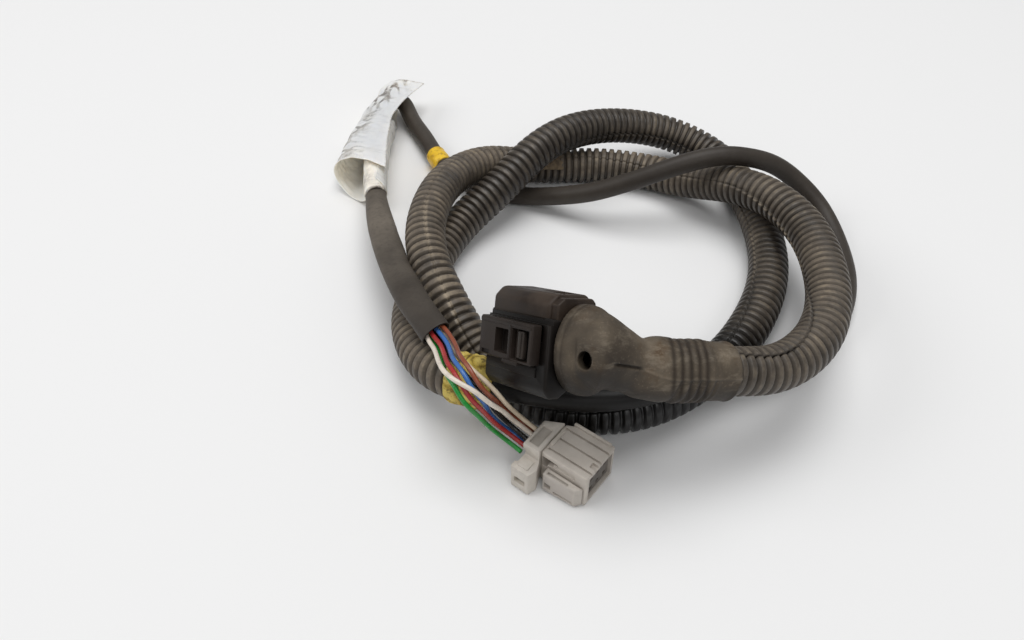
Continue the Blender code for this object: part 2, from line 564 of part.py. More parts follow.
    def build_boot(self):
        """Makes the rubber elbow boot and the wires that it hides."""
        profile = ((0, -BOOT_HEAD_LENGTH), (BOOT_HEAD_RADIUS, -BOOT_HEAD_LENGTH), (BOOT_HEAD_RADIUS, -4.0),
                   (13.3, -2.4), (12.2, -0.9), (10.4, 0.2), (6.0, 0.8), (0, 0.9))
        head = turned("rubber_boot", self.black, profile, 40, self.parts, BOOT_HEAD_SHIFT, BOOT_HEAD_NARROWING)
        bend = [(-26.1, -86.5, 54.2), *ELBOW_POINTS]
        straight = (0.0, 4.6, 5.6, 6.6, 7.4, 8.4, 9.4, 10.2, 11.2, 12.2, 13.0, 14.0, 15.0, 15.6, 16.4, 25.0)
        stations = smooth_curve(bend + [collar_point(x) for x in (2.0, 8.0, 14.0, 20.0, 25.0)], 12)
        curved = [p for p in stations if p[0] < -1.0][::3]
        path = np.array(curved + [collar_point(x) for x in straight])
        known_x = (-26.1, -19.0, -13.1, -6.0, -4.4, -2.0, 0.0, 4.6, 5.6, 6.6, 7.4, 8.4, 9.4, 10.2, 11.2, 12.2,
                   13.0, 14.0, 15.0, 15.6, 16.4, 25.0)
        crest = COLLAR_RADIUS + 0.7
        groove = COLLAR_RADIUS + 0.15
        known_r = (9.0, 12.0, 9.2, 7.4, 7.3, 8.8, 9.6, crest, groove, crest, crest, groove, crest, crest, groove,
                   crest, crest, groove, crest, COLLAR_RADIUS + 0.3, COLLAR_RADIUS + 0.05, COLLAR_RADIUS)
        radii = np.interp(path[:, 0], known_x, known_r)
        neck = swept_solid("boot_neck", path, radii, 28, self.cutters)
        combine(head, neck, "UNION")
        cavity_profile = ((0, -10.0), (12.1, -10.0), (12.1, -2.9), (10.6, -1.7), (0, -1.3))
        cavity = turned("boot_cavity", self.black, cavity_profile, 36, self.cutters,
                        BOOT_HEAD_SHIFT, BOOT_HEAD_NARROWING)
        combine(head, cavity, "DIFFERENCE")
        trim = turned("boot_rim_trim", self.black, ((0, -24.0), (24.0, -24.0), (24.0, -8.9), (0, -8.9)),
                      36, self.cutters)
        combine(head, trim, "DIFFERENCE")
        bore_bend = [p for p in stations if p[0] < -1.0][3::3]
        bore_path = np.array(bore_bend + [collar_point(x) for x in (0.0, 11.4, 11.9, 27.0)])
        bore_x = (-24.0, -19.0, -13.1, -6.0, -2.0, 0.0, 11.4, 11.9, 27.0)
        bore_r = (6.0, 8.4, 6.9, 5.7, 5.8, 6.5, 6.5, COLLAR_BORE, COLLAR_BORE)
        bore = swept_solid("boot_bore", bore_path, np.interp(bore_path[:, 0], bore_x, bore_r), 28, self.cutters)
        combine(head, bore, "DIFFERENCE")
        hole_profile = ((0, -6.0), (BOOT_HOLE_RADIUS, -6.0), (BOOT_HOLE_RADIUS, 4.0), (0, 4.0))
        hole = turned("boot_hole", self.black, hole_profile, 24, self.cutters)
        combine(head, hole, "DIFFERENCE")
        self.finish(head)
        bundle = np.array([tuple(p) for p in stations if -16.0 < p[0] < 11.3][::3])
        self.finish(tube("boot_wire_bundle", bundle, BUNDLE_RADIUS, 3, self.parts))

    def build_grey_connector(self):
        """Makes the small grey connector: housing, rear cover, latch panel and terminal carrier."""
        outline = ((-18.0, 0.0), (0.0, 0.0), (0.0, 16.5), (-12.6, 16.7), (-18.0, 14.0))
        housing = prism("grey_housing", self.grey, outline, 0.0, GREY_HEIGHT, self.parts, 0.6)
        for number, w in enumerate((2.7, 8.0, 12.6)):
            groove = box("grey_groove_%d" % number, self.grey, (-17.0, w - 0.45, GREY_HEIGHT - 1.0),
                         (1.0, w + 0.45, GREY_HEIGHT + 1.0), self.cutters)
            combine(housing, groove, "DIFFERENCE")
        notch = box("grey_notch", self.grey, (-2.4, 4.6, GREY_HEIGHT - 1.2), (1.0, 6.8, GREY_HEIGHT + 1.0),
                    self.cutters)
        combine(housing, notch, "DIFFERENCE")
        socket = box("grey_socket", self.grey, (-10.0, 1.6, 1.6), (1.0, 14.9, GREY_HEIGHT - 1.7), self.cutters)
        combine(housing, socket, "DIFFERENCE")
        self.finish(housing)
        outline = ((-24.3, -8.0), (-17.2, -8.0), (-16.2, -4.6), (-18.35, -0.5), (-18.35, 13.6), (-24.3, 10.4))
        cover = prism("grey_rear_cover", self.grey, outline, 0.0, GREY_COVER_HEIGHT, self.parts, 0.8)
        wing = box("wing_cut", self.grey, (-26.0, -9.0, 11.0), (-15.0, -1.2, 18.0), self.cutters)
        combine(cover, wing, "DIFFERENCE")
        slot = box("wing_slot", self.grey, (-23.0, -9.0, 3.4), (-18.6, -6.6, 6.4), self.cutters)
        combine(cover, slot, "DIFFERENCE")
        self.finish(cover)
        outline = ((-14.8, -3.4), (-2.5, -2.6), (-0.8, -0.35), (-14.8, -0.35))
        panel = prism("grey_latch_panel", self.grey, outline, 0.4, 9.5, self.parts, 0.3)
        self.finish(panel)
        carrier = box("grey_terminal_carrier", self.grey, (-9.6, 2.0, 2.0), (-1.0, 14.5, GREY_HEIGHT - 2.1),
                      self.parts, 0.3)
        for row in range(2):
            for place in range(3):
                y = 4.4 + 3.9 * place
                z = 4.6 + 5.2 * row
                hole = box("grey_hole_%d_%d" % (row, place), self.grey, (-6.0, y - 0.8, z - 0.8),
                           (0.0, y + 0.8, z + 0.8), self.cutters)
                combine(carrier, hole, "DIFFERENCE")
        self.finish(carrier)


def main():
    """Builds the whole harness."""
    harness = Harness()
    harness.build_tubes()
    harness.build_wires()
    harness.build_label()
    harness.build_black_connector()
    harness.build_boot()
    harness.build_grey_connector()


if __name__ == "__main__":
    main()
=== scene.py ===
"""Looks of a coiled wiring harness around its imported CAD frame.

The cords are swept surfaces over the same routes as the solids: a split corrugated conduit, a thin
sleeve and loose wires. The boot, connectors, tapes and label are built as meshes with procedural
materials, and a camera, a pale floor and soft lamps show them as in the photograph.
"""

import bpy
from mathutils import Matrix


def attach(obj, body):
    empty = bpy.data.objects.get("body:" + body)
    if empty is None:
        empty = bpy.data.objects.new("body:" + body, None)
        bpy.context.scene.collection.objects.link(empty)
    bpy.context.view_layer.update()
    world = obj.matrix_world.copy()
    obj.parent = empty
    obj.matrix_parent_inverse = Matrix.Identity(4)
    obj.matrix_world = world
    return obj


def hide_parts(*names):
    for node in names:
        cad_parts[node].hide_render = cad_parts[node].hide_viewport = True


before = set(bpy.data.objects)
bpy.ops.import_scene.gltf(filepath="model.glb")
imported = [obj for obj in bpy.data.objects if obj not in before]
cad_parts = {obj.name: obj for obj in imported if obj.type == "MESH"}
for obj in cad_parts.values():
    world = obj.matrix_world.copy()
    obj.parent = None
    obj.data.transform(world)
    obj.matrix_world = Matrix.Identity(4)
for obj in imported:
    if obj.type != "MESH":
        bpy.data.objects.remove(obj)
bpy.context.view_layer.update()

import logging
import math
from dataclasses import dataclass, field
from enum import Enum

import bmesh
import bpy
import numpy as np
from mathutils import Vector

LOG = logging.getLogger("wiring_harness")
# A millimetre in metres, and the row frame's origin in table millimetres.
MM = 0.001
ORIGIN = np.array((-14.365, 17.703, -0.032))

# The camera: table millimetres, degrees below the horizon, millimetres of lens and sensor.
CAMERA_PLACE = (-45.1, -250.4, 233.9)
CAMERA_ELEVATION = 45.5
CAMERA_LENS = 28.83
SENSOR_WIDTH = 36.0

# Cords, in millimetres.
CONDUIT_RADIUS = 8.0
CONDUIT_VALLEY = 6.55
CONDUIT_PITCH = 3.4
SLEEVE_RADIUS = 4.1
WIRE_RADIUS = 0.8

# Both connectors: where their frames stand and which way they look, and the boot's oval head.
BOOT_REAR = (-22.4, -90.4, 57.0)
BOOT_HEAD_SHIFT = 3.6
BOOT_HEAD_NARROWING = 0.748
CONNECTOR_AXIS = (0.61, -0.645, 0.46)
CONNECTOR_UP = (0.085, 0.631, 0.772)
CONNECTOR_LENGTH = 40.0
GREY_CORNER = (-21.5, -106.0, 0.0)
GREY_AXIS = (0.79, -0.613, 0.0)

# Routes of the cords in table millimetres.
CONDUIT_ROUTE = (
    (12.5, -85, 43.3), (26.5, -81.3, 38.8), (37.5, -77.5, 35.3), (48.5, -70.5, 33),
    (59, -59, 31.5), (67, -43, 30), (72, -19, 28.3), (71, 6.5, 26.7),
    (62.5, 26, 25.5), (51, 41.5, 20.7), (36, 57, 12), (17, 69.5, 8.2),
    (-3, 74.3, 8), (-22.5, 74.3, 8), (-40, 71.5, 10.2), (-55, 64.7, 15.8),
    (-66.5, 53, 20.2), (-74, 38.5, 23.4), (-78.5, 21, 25.2), (-79.5, 2, 25.5),
    (-76, -16, 24.3), (-69, -31.5, 20), (-60, -45.5, 13.5), (-49, -58.5, 9),
    (-35, -68.8, 8), (-15, -73.3, 8), (3.5, -69.7, 8), (20.5, -59.6, 8),
    (37, -44, 8), (50.5, -24, 8), (59.8, -1, 8), (63, 25, 8),
    (60.5, 55, 8), (51.5, 79.5, 9), (33.5, 91, 13.5), (11, 90, 19.5),
    (-9.5, 82, 23.8), (-24, 71.6, 25.5), (-34.5, 62, 24), (-43.8, 52.2, 20.3),
    (-53.7, 42, 15.5), (-64.2, 31.2, 11.3), (-73.6, 16, 8.6), (-80.5, -4, 8),
    (-83.3, -23.5, 9.3), (-81.3, -41.5, 12.5), (-75.3, -56, 16), (-66, -66, 19.2),
    (-56, -70.5, 20.5),
)

SLEEVE_ROUTE = (
    (-55.2, -70.9, 20.5), (-48, -73.1, 20.6), (-35.5, -76, 20.6), (-19, -78, 20.6),
    (-2, -76, 20.8), (15, -68.8, 20.8), (31, -61, 19), (48, -53, 13),
    (65.7, -41.3, 6.5), (81, -27, 4.3), (91, -7, 4.2), (95.5, 19, 4.2),
    (91.5, 40.5, 9), (78, 49.5, 20), (59.5, 48, 30), (41, 45.3, 32.5),
    (23, 43, 28.5), (6, 42, 22), (-10.5, 44.5, 14.5), (-27, 50.5, 8),
    (-45, 56, 4.4), (-61, 61.9, 4.4), (-75.2, 74.5, 5.1), (-86.3, 96.5, 5.2),
    (-92.3, 110, 4.9), (-97, 120.5, 5.1), (-99.8, 127.6, 6.2), (-102.6, 131.6, 7.6),
    (-106, 131.3, 9.1), (-108.4, 127, 10.3), (-109.3, 119, 11.3), (-109.5, 105, 12.3),
    (-109.2, 85, 13.6), (-108, 62, 15), (-105, 42, 16.7), (-97.5, 9, 21),
    (-90.2, -15, 25), (-82, -36.4, 29), (-71.1, -57.5, 31),
)

WIRE_ROUTES = {
    "brown": (
        (-68.2, -56.3, 32.4), (-66.0, -60.4, 33.1), (-64.1, -65.2, 34.3), (-63.0, -69.3, 35.9),
        (-62.1, -73.1, 37.8), (-60.4, -77.4, 39.4), (-58.1, -81.3, 39.1), (-55.4, -84.7, 36.5),
        (-52.8, -85.6, 32.9), (-50.8, -84.6, 28.9), (-49.1, -82.8, 24.5), (-47.6, -81.8, 20.6),
        (-45.4, -80.8, 16.4), (-40.6, -82.2, 12.3), (-36.8, -85.4, 11.7),
    ),
    "blue": (
        (-69.9, -57.5, 31.5), (-67.8, -61.5, 32.4), (-66.1, -66.1, 33.8), (-65.1, -70.2, 35.3),
        (-64.1, -74.2, 37.0), (-62.2, -78.6, 38.4), (-59.9, -82.5, 38.1), (-57.3, -85.8, 35.3),
        (-54.8, -86.8, 31.6), (-53.4, -86.2, 27.4), (-52.4, -85.1, 22.5), (-50.7, -84.3, 18.4),
        (-48.4, -83.5, 14.1), (-43.4, -85.0, 9.8), (-39.6, -88.3, 9.1),
    ),
    "red": (
        (-71.6, -58.7, 30.6), (-69.6, -62.5, 31.6), (-68.1, -66.9, 33.2), (-67.1, -71.0, 34.7),
        (-65.9, -75.3, 36.1), (-63.9, -79.8, 37.4), (-61.7, -83.7, 37.0), (-59.0, -87.0, 34.3),
        (-56.4, -88.1, 30.6), (-54.1, -88.0, 26.8), (-51.9, -87.5, 22.3), (-49.9, -86.7, 18.2),
        (-47.7, -85.8, 14.3), (-44.2, -86.8, 11.2), (-40.8, -89.7, 10.7),
    ),
    "white": (
        (-73.3, -59.9, 29.7), (-71.7, -63.6, 30.9), (-70.4, -67.8, 32.7), (-69.5, -71.7, 34.7),
        (-68.4, -76.0, 36.6), (-66.3, -81.0, 38.2), (-62.5, -84.9, 38.4), (-57.0, -87.4, 36.5),
        (-53.2, -88.1, 32.7), (-50.6, -87.3, 28.7), (-48.1, -85.8, 24.4), (-46.3, -84.6, 20.4),
        (-44.6, -83.5, 16.6), (-41.4, -84.1, 13.5), (-38.0, -86.9, 12.8),
    ),
    "cream": (
        (-68.2, -56.8, 30.2), (-66.1, -61.1, 31.0), (-64.4, -66.1, 32.3), (-63.0, -70.1, 33.9),
        (-61.4, -73.7, 35.7), (-59.4, -77.2, 37.3), (-57.3, -80.1, 37.6), (-54.2, -82.5, 36.4),
        (-51.7, -83.2, 33.5), (-49.3, -83.6, 29.8), (-46.9, -83.6, 25.3), (-45.2, -82.6, 21.4),
        (-43.4, -81.6, 17.6), (-40.1, -82.6, 14.5), (-36.7, -85.5, 13.9),
    ),
    "black": (
        (-69.9, -58.0, 29.3), (-67.9, -62.1, 30.3), (-66.4, -66.9, 31.7), (-65.0, -71.0, 33.3),
        (-63.3, -74.7, 34.9), (-61.2, -78.5, 36.3), (-59.2, -81.2, 36.2), (-56.6, -83.3, 34.5),
        (-54.4, -83.9, 31.7), (-52.6, -84.2, 28.0), (-50.9, -84.1, 23.4), (-49.1, -83.5, 19.4),
        (-46.7, -83.2, 15.2), (-42.7, -85.1, 12.0), (-39.4, -88.2, 11.6),
    ),
    "green": (
        (-71.6, -59.2, 28.4), (-70.0, -63.3, 29.5), (-68.8, -67.8, 31.3), (-68.1, -72.0, 33.0),
        (-67.2, -76.4, 34.5), (-65.4, -80.9, 35.8), (-63.3, -84.6, 35.6), (-60.7, -88.2, 33.3),
        (-57.9, -89.5, 29.7), (-55.7, -89.2, 25.9), (-53.5, -88.6, 21.4), (-51.4, -87.8, 17.2),
        (-49.1, -87.1, 13.2), (-45.5, -88.2, 10.1), (-42.1, -91.1, 9.6),
    ),
}

# The flag label: sections from its open lower end to its top, as (y, skew, points across and up).
# Points go from the free edge on top, over the left side, along the table and round the sleeve.
LABEL_SECTIONS = (
    (41.5, -0.82, (
        (-101.0, 22.4), (-108.0, 22.3), (-116.5, 20.6), (-124.0, 16.5), (-128.2, 10.5),
        (-125.0, 3.2), (-117.5, 0.6), (-112.4, 4.2), (-110.8, 9.4), (-108.6, 10.9),
        (-105.0, 11.0), (-101.4, 12.8), (-99.9, 16.6), (-101.2, 20.0), (-105.2, 21.5),
    )),
    (55.0, -0.62, (
        (-102.0, 21.2), (-108.5, 21.0), (-116.5, 19.4), (-123.5, 15.5), (-127.4, 10.0),
        (-124.4, 3.0), (-117.5, 0.6), (-112.4, 3.4), (-110.2, 8.0), (-108.6, 10.0),
        (-105.4, 10.0), (-102.6, 11.8), (-101.6, 15.4), (-102.8, 18.6), (-105.4, 20.0),
    )),
    (72.0, -0.4, (
        (-103.2, 19.8), (-109.5, 19.8), (-116.5, 18.0), (-122.6, 14.6), (-126.2, 9.6),
        (-123.4, 3.0), (-117.5, 0.6), (-113.0, 1.6), (-110.0, 4.6), (-108.0, 7.2),
        (-105.4, 8.0), (-103.4, 10.4), (-102.6, 14.0), (-103.6, 17.2), (-106.4, 18.8),
    )),
    (90.0, -0.2, (
        (-103.6, 18.8), (-110.0, 18.9), (-116.0, 17.0), (-121.4, 13.6), (-124.2, 9.0),
        (-121.8, 2.8), (-117.0, 0.6), (-113.0, 1.0), (-109.6, 2.6), (-107.0, 4.8),
        (-105.2, 6.6), (-104.0, 9.0), (-103.4, 12.6), (-104.0, 15.8), (-106.6, 17.7),
    )),
    (104.0, -0.08, (
        (-103.2, 17.8), (-109.5, 17.9), (-115.0, 16.2), (-119.8, 12.8), (-121.9, 8.6),
        (-120.2, 2.8), (-116.5, 0.6), (-112.8, 0.7), (-109.4, 1.2), (-106.8, 2.4),
        (-105.0, 4.0), (-104.0, 6.2), (-103.6, 8.8), (-103.6, 11.6), (-103.8, 13.8),
    )),
    (111.0, -0.04, (
        (-101.6, 17.4), (-108.5, 17.3), (-114.0, 15.8), (-118.4, 12.4), (-120.4, 8.4),
        (-119.0, 2.8), (-116.0, 0.6), (-113.4, 0.6), (-111.0, 0.6), (-109.0, 0.8),
        (-107.4, 1.2), (-106.0, 2.0), (-105.0, 3.2), (-104.4, 4.6), (-104.2, 6.4),
    )),
    (118.0, 0.0, (
        (-99.6, 16.8), (-107.0, 16.9), (-113.0, 15.4), (-117.2, 12.0), (-119.0, 8.2),
        (-117.8, 2.8), (-115.4, 0.6), (-113.8, 0.6), (-112.2, 0.6), (-110.8, 0.6),
        (-109.4, 0.6), (-108.2, 0.6), (-107.0, 0.6), (-105.8, 0.6), (-104.6, 0.6),
    )),
    (128.0, 0.0, (
        (-96.0, 15.4), (-105.0, 16.0), (-111.0, 14.8), (-115.4, 11.6), (-117.2, 8.0),
        (-116.4, 2.8), (-114.6, 0.6), (-113.2, 0.6), (-112.0, 0.6), (-110.8, 0.6),
        (-109.6, 0.6), (-108.6, 0.6), (-107.6, 0.6), (-106.6, 0.6), (-105.6, 0.6),
    )),
    (141.0, 0.1, (
        (-91.5, 12.6), (-102.0, 15.2), (-109.0, 14.2), (-113.6, 11.2), (-115.6, 7.8),
        (-115.0, 2.8), (-113.4, 0.6), (-112.4, 0.6), (-111.4, 0.6), (-110.4, 0.6),
        (-109.4, 0.6), (-108.6, 0.6), (-107.8, 0.6), (-107.0, 0.6), (-106.2, 0.6),
    )),
)

# How far each point of a label section is drawn back from its lower end, and each section's share of it.
LABEL_TRIM = (10.0, 9.5, 8.0, 6.0, 3.5, 1.5, 1.5, 1.0, 0.0, 0.0, 0.0, 0.0, 0.0, 0.0, 0.0)
TRIM_SHARES = (1.0, 0.72, 0.42, 0.16, 0.0, 0.0, 0.0, 0.0, 0.0)

# One corrugation of the conduit: share of its pitch and share of its height.
CORRUGATION = (
    (0.02, 0.92), (0.09, 1.0), (0.46, 1.0), (0.54, 0.94), (0.655, 0.1), (0.71, 0.0), (0.85, 0.0),
    (0.91, 0.08),
)
# Across the conduit's slit: degrees from it, rise in millimetres and share of wear.
SLIT_LIPS = (
    (-8.0, 0.0, 0.0), (-2.7, 0.0, 1.0), (-2.0, -0.9, 1.0), (0.0, -1.2, 1.0), (2.0, -0.9, 1.0),
    (2.7, 0.14, 1.0), (8.0, 0.08, 0.0),
)
# Where the slit runs: millimetres along the conduit and degrees around it.
SLIT_TURN = (
    (0, 98), (26, 78), (42, 92), (80, 172), (112, 200), (135, 184), (155, 156), (240, 118),
    (330, 86), (368, 96), (389, 85), (409, 66), (450, 38), (520, 90), (572, 138), (601, 149),
    (700, 175), (800, 210), (926, 230),
)
# How far the slit gapes, how worn its lips are, how dusty the conduit is and how black the
# painted shade of the boot makes it, each as millimetres along the conduit and a share.
SLIT_DEPTH = ((0, 1.5), (30, 1.5), (38, 0.45), (90, 0.35), (110, 0.2), (400, 0.2), (430, 0.3))
SLIT_WEAR = (
    (92, 0), (100, 1), (150, 1), (158, 0), (340, 0), (350, 1), (405, 1), (415, 0), (568, 0),
    (575, 0.5), (598, 0.5), (606, 0),
)
DUST_ALONG = (
    (0, 0.5), (60, 0.5), (110, 0.52), (160, 0.6), (200, 0.85), (250, 0.9), (290, 0.85), (400, 0.8),
    (440, 0.4), (500, 0.05), (560, 0.3), (600, 0.36), (640, 0.42), (670, 0.52), (710, 0.44),
    (745, 0.26), (790, 0.3), (830, 0.6), (860, 1.0), (926, 1.0),
)
# Painted shade: the stretch that lies in the boot's shade is painted near black.
PAINTED_SHADE_ALONG = ((425, 0), (450, 1), (522, 1), (548, 0))

# The cloth tape band: millimetres past the conduit's end and radius.
BAND_OUTLINE = (
    (-9.0, 8.25), (-8.7, 8.72), (0.0, 8.8), (0.9, 8.6), (1.8, 7.9), (2.9, 6.9), (4.0, 6.2),
    (4.8, 5.3), (5.4, 4.5),
)

# Where the sleeve comes out of the label.
LABEL_MOUTH = (-105.0, 42.0, 16.7)

# The sleeve's inner wall at its mouth: millimetres from its end and how much smaller it is.
MOUTH_WALL = ((0.0, -0.35), (-0.15, -0.75), (-1.5, -0.8), (-4.0, -0.8), (-8.0, -1.6))

# The boot: its neck's radius and its bore's, by the table's X, the fill under its waist, its
# grooves, and its head as radius and height in the connector's frame.
BOOT_NECK = (
    (-26.1, 9.0), (-19.0, 12.0), (-13.9, 9.2), (-9.4, 7.4), (-8.0, 7.35), (-5.8, 8.8), (-3.6, 9.6),
    (0.0, 10.0), (0.4, 9.9), (12.9, 9.9), (13.3, 9.6), (13.9, 9.25), (19.6, 9.2), (20.0, 9.5),
    (21.0, 9.45),
)
BOOT_BORE = (
    (-24.0, 6.0), (-19.0, 8.4), (-13.1, 6.9), (-6.0, 5.7), (-2.0, 5.8), (0.0, 6.5), (11.4, 6.5),
    (11.9, 8.35), (27.0, 8.35),
)
BOOT_FILL = ((-17.0, 0.0), (-12.5, 2.4), (-8.0, 3.4), (-3.5, 0.8), (0.0, 0.0))
BOOT_GROOVES = (1.9, 4.6, 7.3, 10.0, 12.5)
BOOT_HEAD = (
    (0, -9.0), (13.3, -9.0), (13.75, -8.6), (13.75, -6.4), (13.95, -6.1), (13.95, -5.7),
    (13.7, -5.4), (13.7, -4.0), (13.45, -2.9), (12.8, -1.6), (11.7, -0.6), (10.2, 0.15), (8.0, 0.6),
    (6.0, 0.85), (0, 0.95),
)
BOOT_CAVITY = ((0, -10.0), (12.1, -10.0), (12.1, -2.9), (10.6, -1.7), (0, -1.3))
BOOT_TRIM = ((0, -24.0), (24.0, -24.0), (24.0, -9.0), (0, -9.0))
BOOT_BEND = ((-26.1, -86.5, 54.2), (-19.0, -87.1, 54.2), (-13.1, -87.9, 53.0), (-5.0, -88.1, 49.5))
# The neck's line goes on straight from the conduit's first point, in this direction.
NECK_START = (12.5, -85.0, 43.3)
NECK_DIRECTION = (0.9215, 0.2435, -0.2962)


class Tint(Enum):
    """Colours of the finishes, written as sRGB hex."""

    CONDUIT_CLEAN = "#1e1a17"
    CONDUIT_DUST = "#877a6a"
    CONDUIT_CREST_HIGHLIGHT = "#93856f"
    CONDUIT_WORN = "#a89a86"
    # Near black painted shade, laid where the conduit and the sleeve lie in the shade of the boot.
    GRIME = "#060505"
    SLEEVE = "#2b2520"
    SLEEVE_DUST = "#6f675d"
    SLEEVE_SPECK = "#332d29"
    SLEEVE_INSIDE_SHADE = "#0f0d0c"
    RUBBER = "#352e27"
    RUBBER_DUST = "#736757"
    RUBBER_STAIN = "#4a3722"
    RUBBER_STREAK = "#8d8272"
    RUBBER_SPECK = "#7d6f60"
    RUBBER_PALE = "#84796a"
    RUBBER_PAINTED_SHADE = "#1c1610"
    RUBBER_GROOVE = "#21180f"
    RUBBER_UNDERSIDE_SHADE = "#1a1510"
    # The housing's black, made darker still as painted shade for its shaded lower body.
    HOUSING_BLACK_AND_SHADE = "#0c0a09"
    HOUSING_DUST = "#2a2420"
    HOOD = "#241c17"
    HOOD_DUST = "#4b4037"
    SLIDE = "#15110f"
    SLIDE_DUST = "#352d28"
    TONGUE = "#1d1a18"
    TONGUE_DUST = "#443c36"
    CARRIER = "#46423f"
    HIDDEN_SHADE = "#2a2522"
    BUNDLE = "#2b2928"
    SEAL = "#7a4a34"
    GREY = "#bcb4a8"
    GREY_LIGHT = "#d4ccc1"
    GREY_COVER = "#c3bcb1"
    GREY_COVER_LIGHT = "#d6cfc6"
    GREY_PANEL = "#aea69d"
    GREY_PANEL_LIGHT = "#c6bfb6"
    GREY_CARRIER = "#6b645d"
    GREY_DIRT = "#6e655a"
    GREY_CREVICE_SHADE = "#4a423b"
    GREY_WORN = "#b5ada6"
    TAPE = "#c9ae45"
    TAPE_DULL = "#a98c35"
    TAPE_FOLD_HIGHLIGHT = "#e0c869"
    TAPE_CREASE_SHADE = "#5a4614"
    TAPE_STAIN = "#5f4a16"
    MARKER = "#edc22a"
    MARKER_DULL = "#b98912"
    MARKER_STAIN = "#8a6a14"
    LABEL = "#faf7f1"
    LABEL_INSIDE = "#fbf2e0"
    LABEL_DIRT = "#625a54"
    LABEL_SPECK = "#6a5a4b"
    STRIP = "#8c7a60"
    STRIP_DIRT = "#54473a"
    WIRE_BROWN = "#8c4a32"
    WIRE_BLUE = "#3c6cae"
    WIRE_RED = "#a6302f"
    WIRE_WHITE = "#e2d7c9"
    WIRE_CREAM = "#dccbb2"
    WIRE_BLACK = "#171413"
    WIRE_GREEN = "#168a33"
    WIRE_DIRT = "#4b3a2c"
    WIRE_DUST = "#3a332e"
    FLOOR = "#ededed"
    BACKDROP = "#eeeeee"
    SKY = "#ffffff"


def linear(colour: Tint) -> tuple:
    """Turns an sRGB hex colour into linear light.

    A share c becomes c / 12.92 up to 0.04045, and ((c + 0.055) / 1.055) ** 2.4 above it.

    Args:
        colour: The colour.

    Returns:
        A tuple of red, green, blue and alpha.
    """
    shares = [int(colour.value[i:i + 2], 16) / 255 for i in (1, 3, 5)]
    return tuple(c / 12.92 if c <= 0.04045 else ((c + 0.055) / 1.055) ** 2.4 for c in shares) + (1.0,)


def to_row(points: np.ndarray) -> np.ndarray:
    """Moves points from table millimetres into the row frame.

    Args:
        points: Array of shape (..., 3) in millimetres.

    Returns:
        The same points in metres about the object's origin.
    """
    return (np.asarray(points, float) - ORIGIN) * MM


def from_table(where: np.ndarray, table: tuple) -> np.ndarray:
    """Reads a table of (place, value) rows, in straight lines between its rows."""
    return np.interp(where, *np.array(table, float).T)


def running_mean(values: np.ndarray, reach: int) -> np.ndarray:
    """Averages each value with as many neighbours on both sides as the reach says."""
    width = 2 * reach + 1
    return np.convolve(np.pad(values, reach, mode="edge"), np.ones(width) / width, "valid")


def circle(sides: int) -> np.ndarray:
    """Returns evenly spaced angles around a circle, in radians."""
    return np.linspace(0, 2 * np.pi, sides, endpoint=False)


def spline_bends(known: np.ndarray, gaps: np.ndarray) -> np.ndarray:
    """Finds the second derivatives of a natural cubic spline through rows of values.

    With gaps g and values y, each inner row has
    g0 m0 + 2 (g0 + g1) m1 + g1 m2 = 6 ((y2 - y1) / g1 - (y1 - y0) / g0), and m = 0 at both ends.

    Args:
        known: Values, shape (n, k).
        gaps: Distances between the rows, shape (n - 1,).

    Returns:
        Second derivatives m, shape (n, k).
    """
    count = len(known)
    matrix = np.eye(count)
    right = np.zeros_like(known)
    for i in range(1, count - 1):
        matrix[i, i - 1:i + 2] = gaps[i - 1], 2 * (gaps[i - 1] + gaps[i]), gaps[i]
        right[i] = 6 * ((known[i + 1] - known[i]) / gaps[i] - (known[i] - known[i - 1]) / gaps[i - 1])
    return np.linalg.solve(matrix, right)


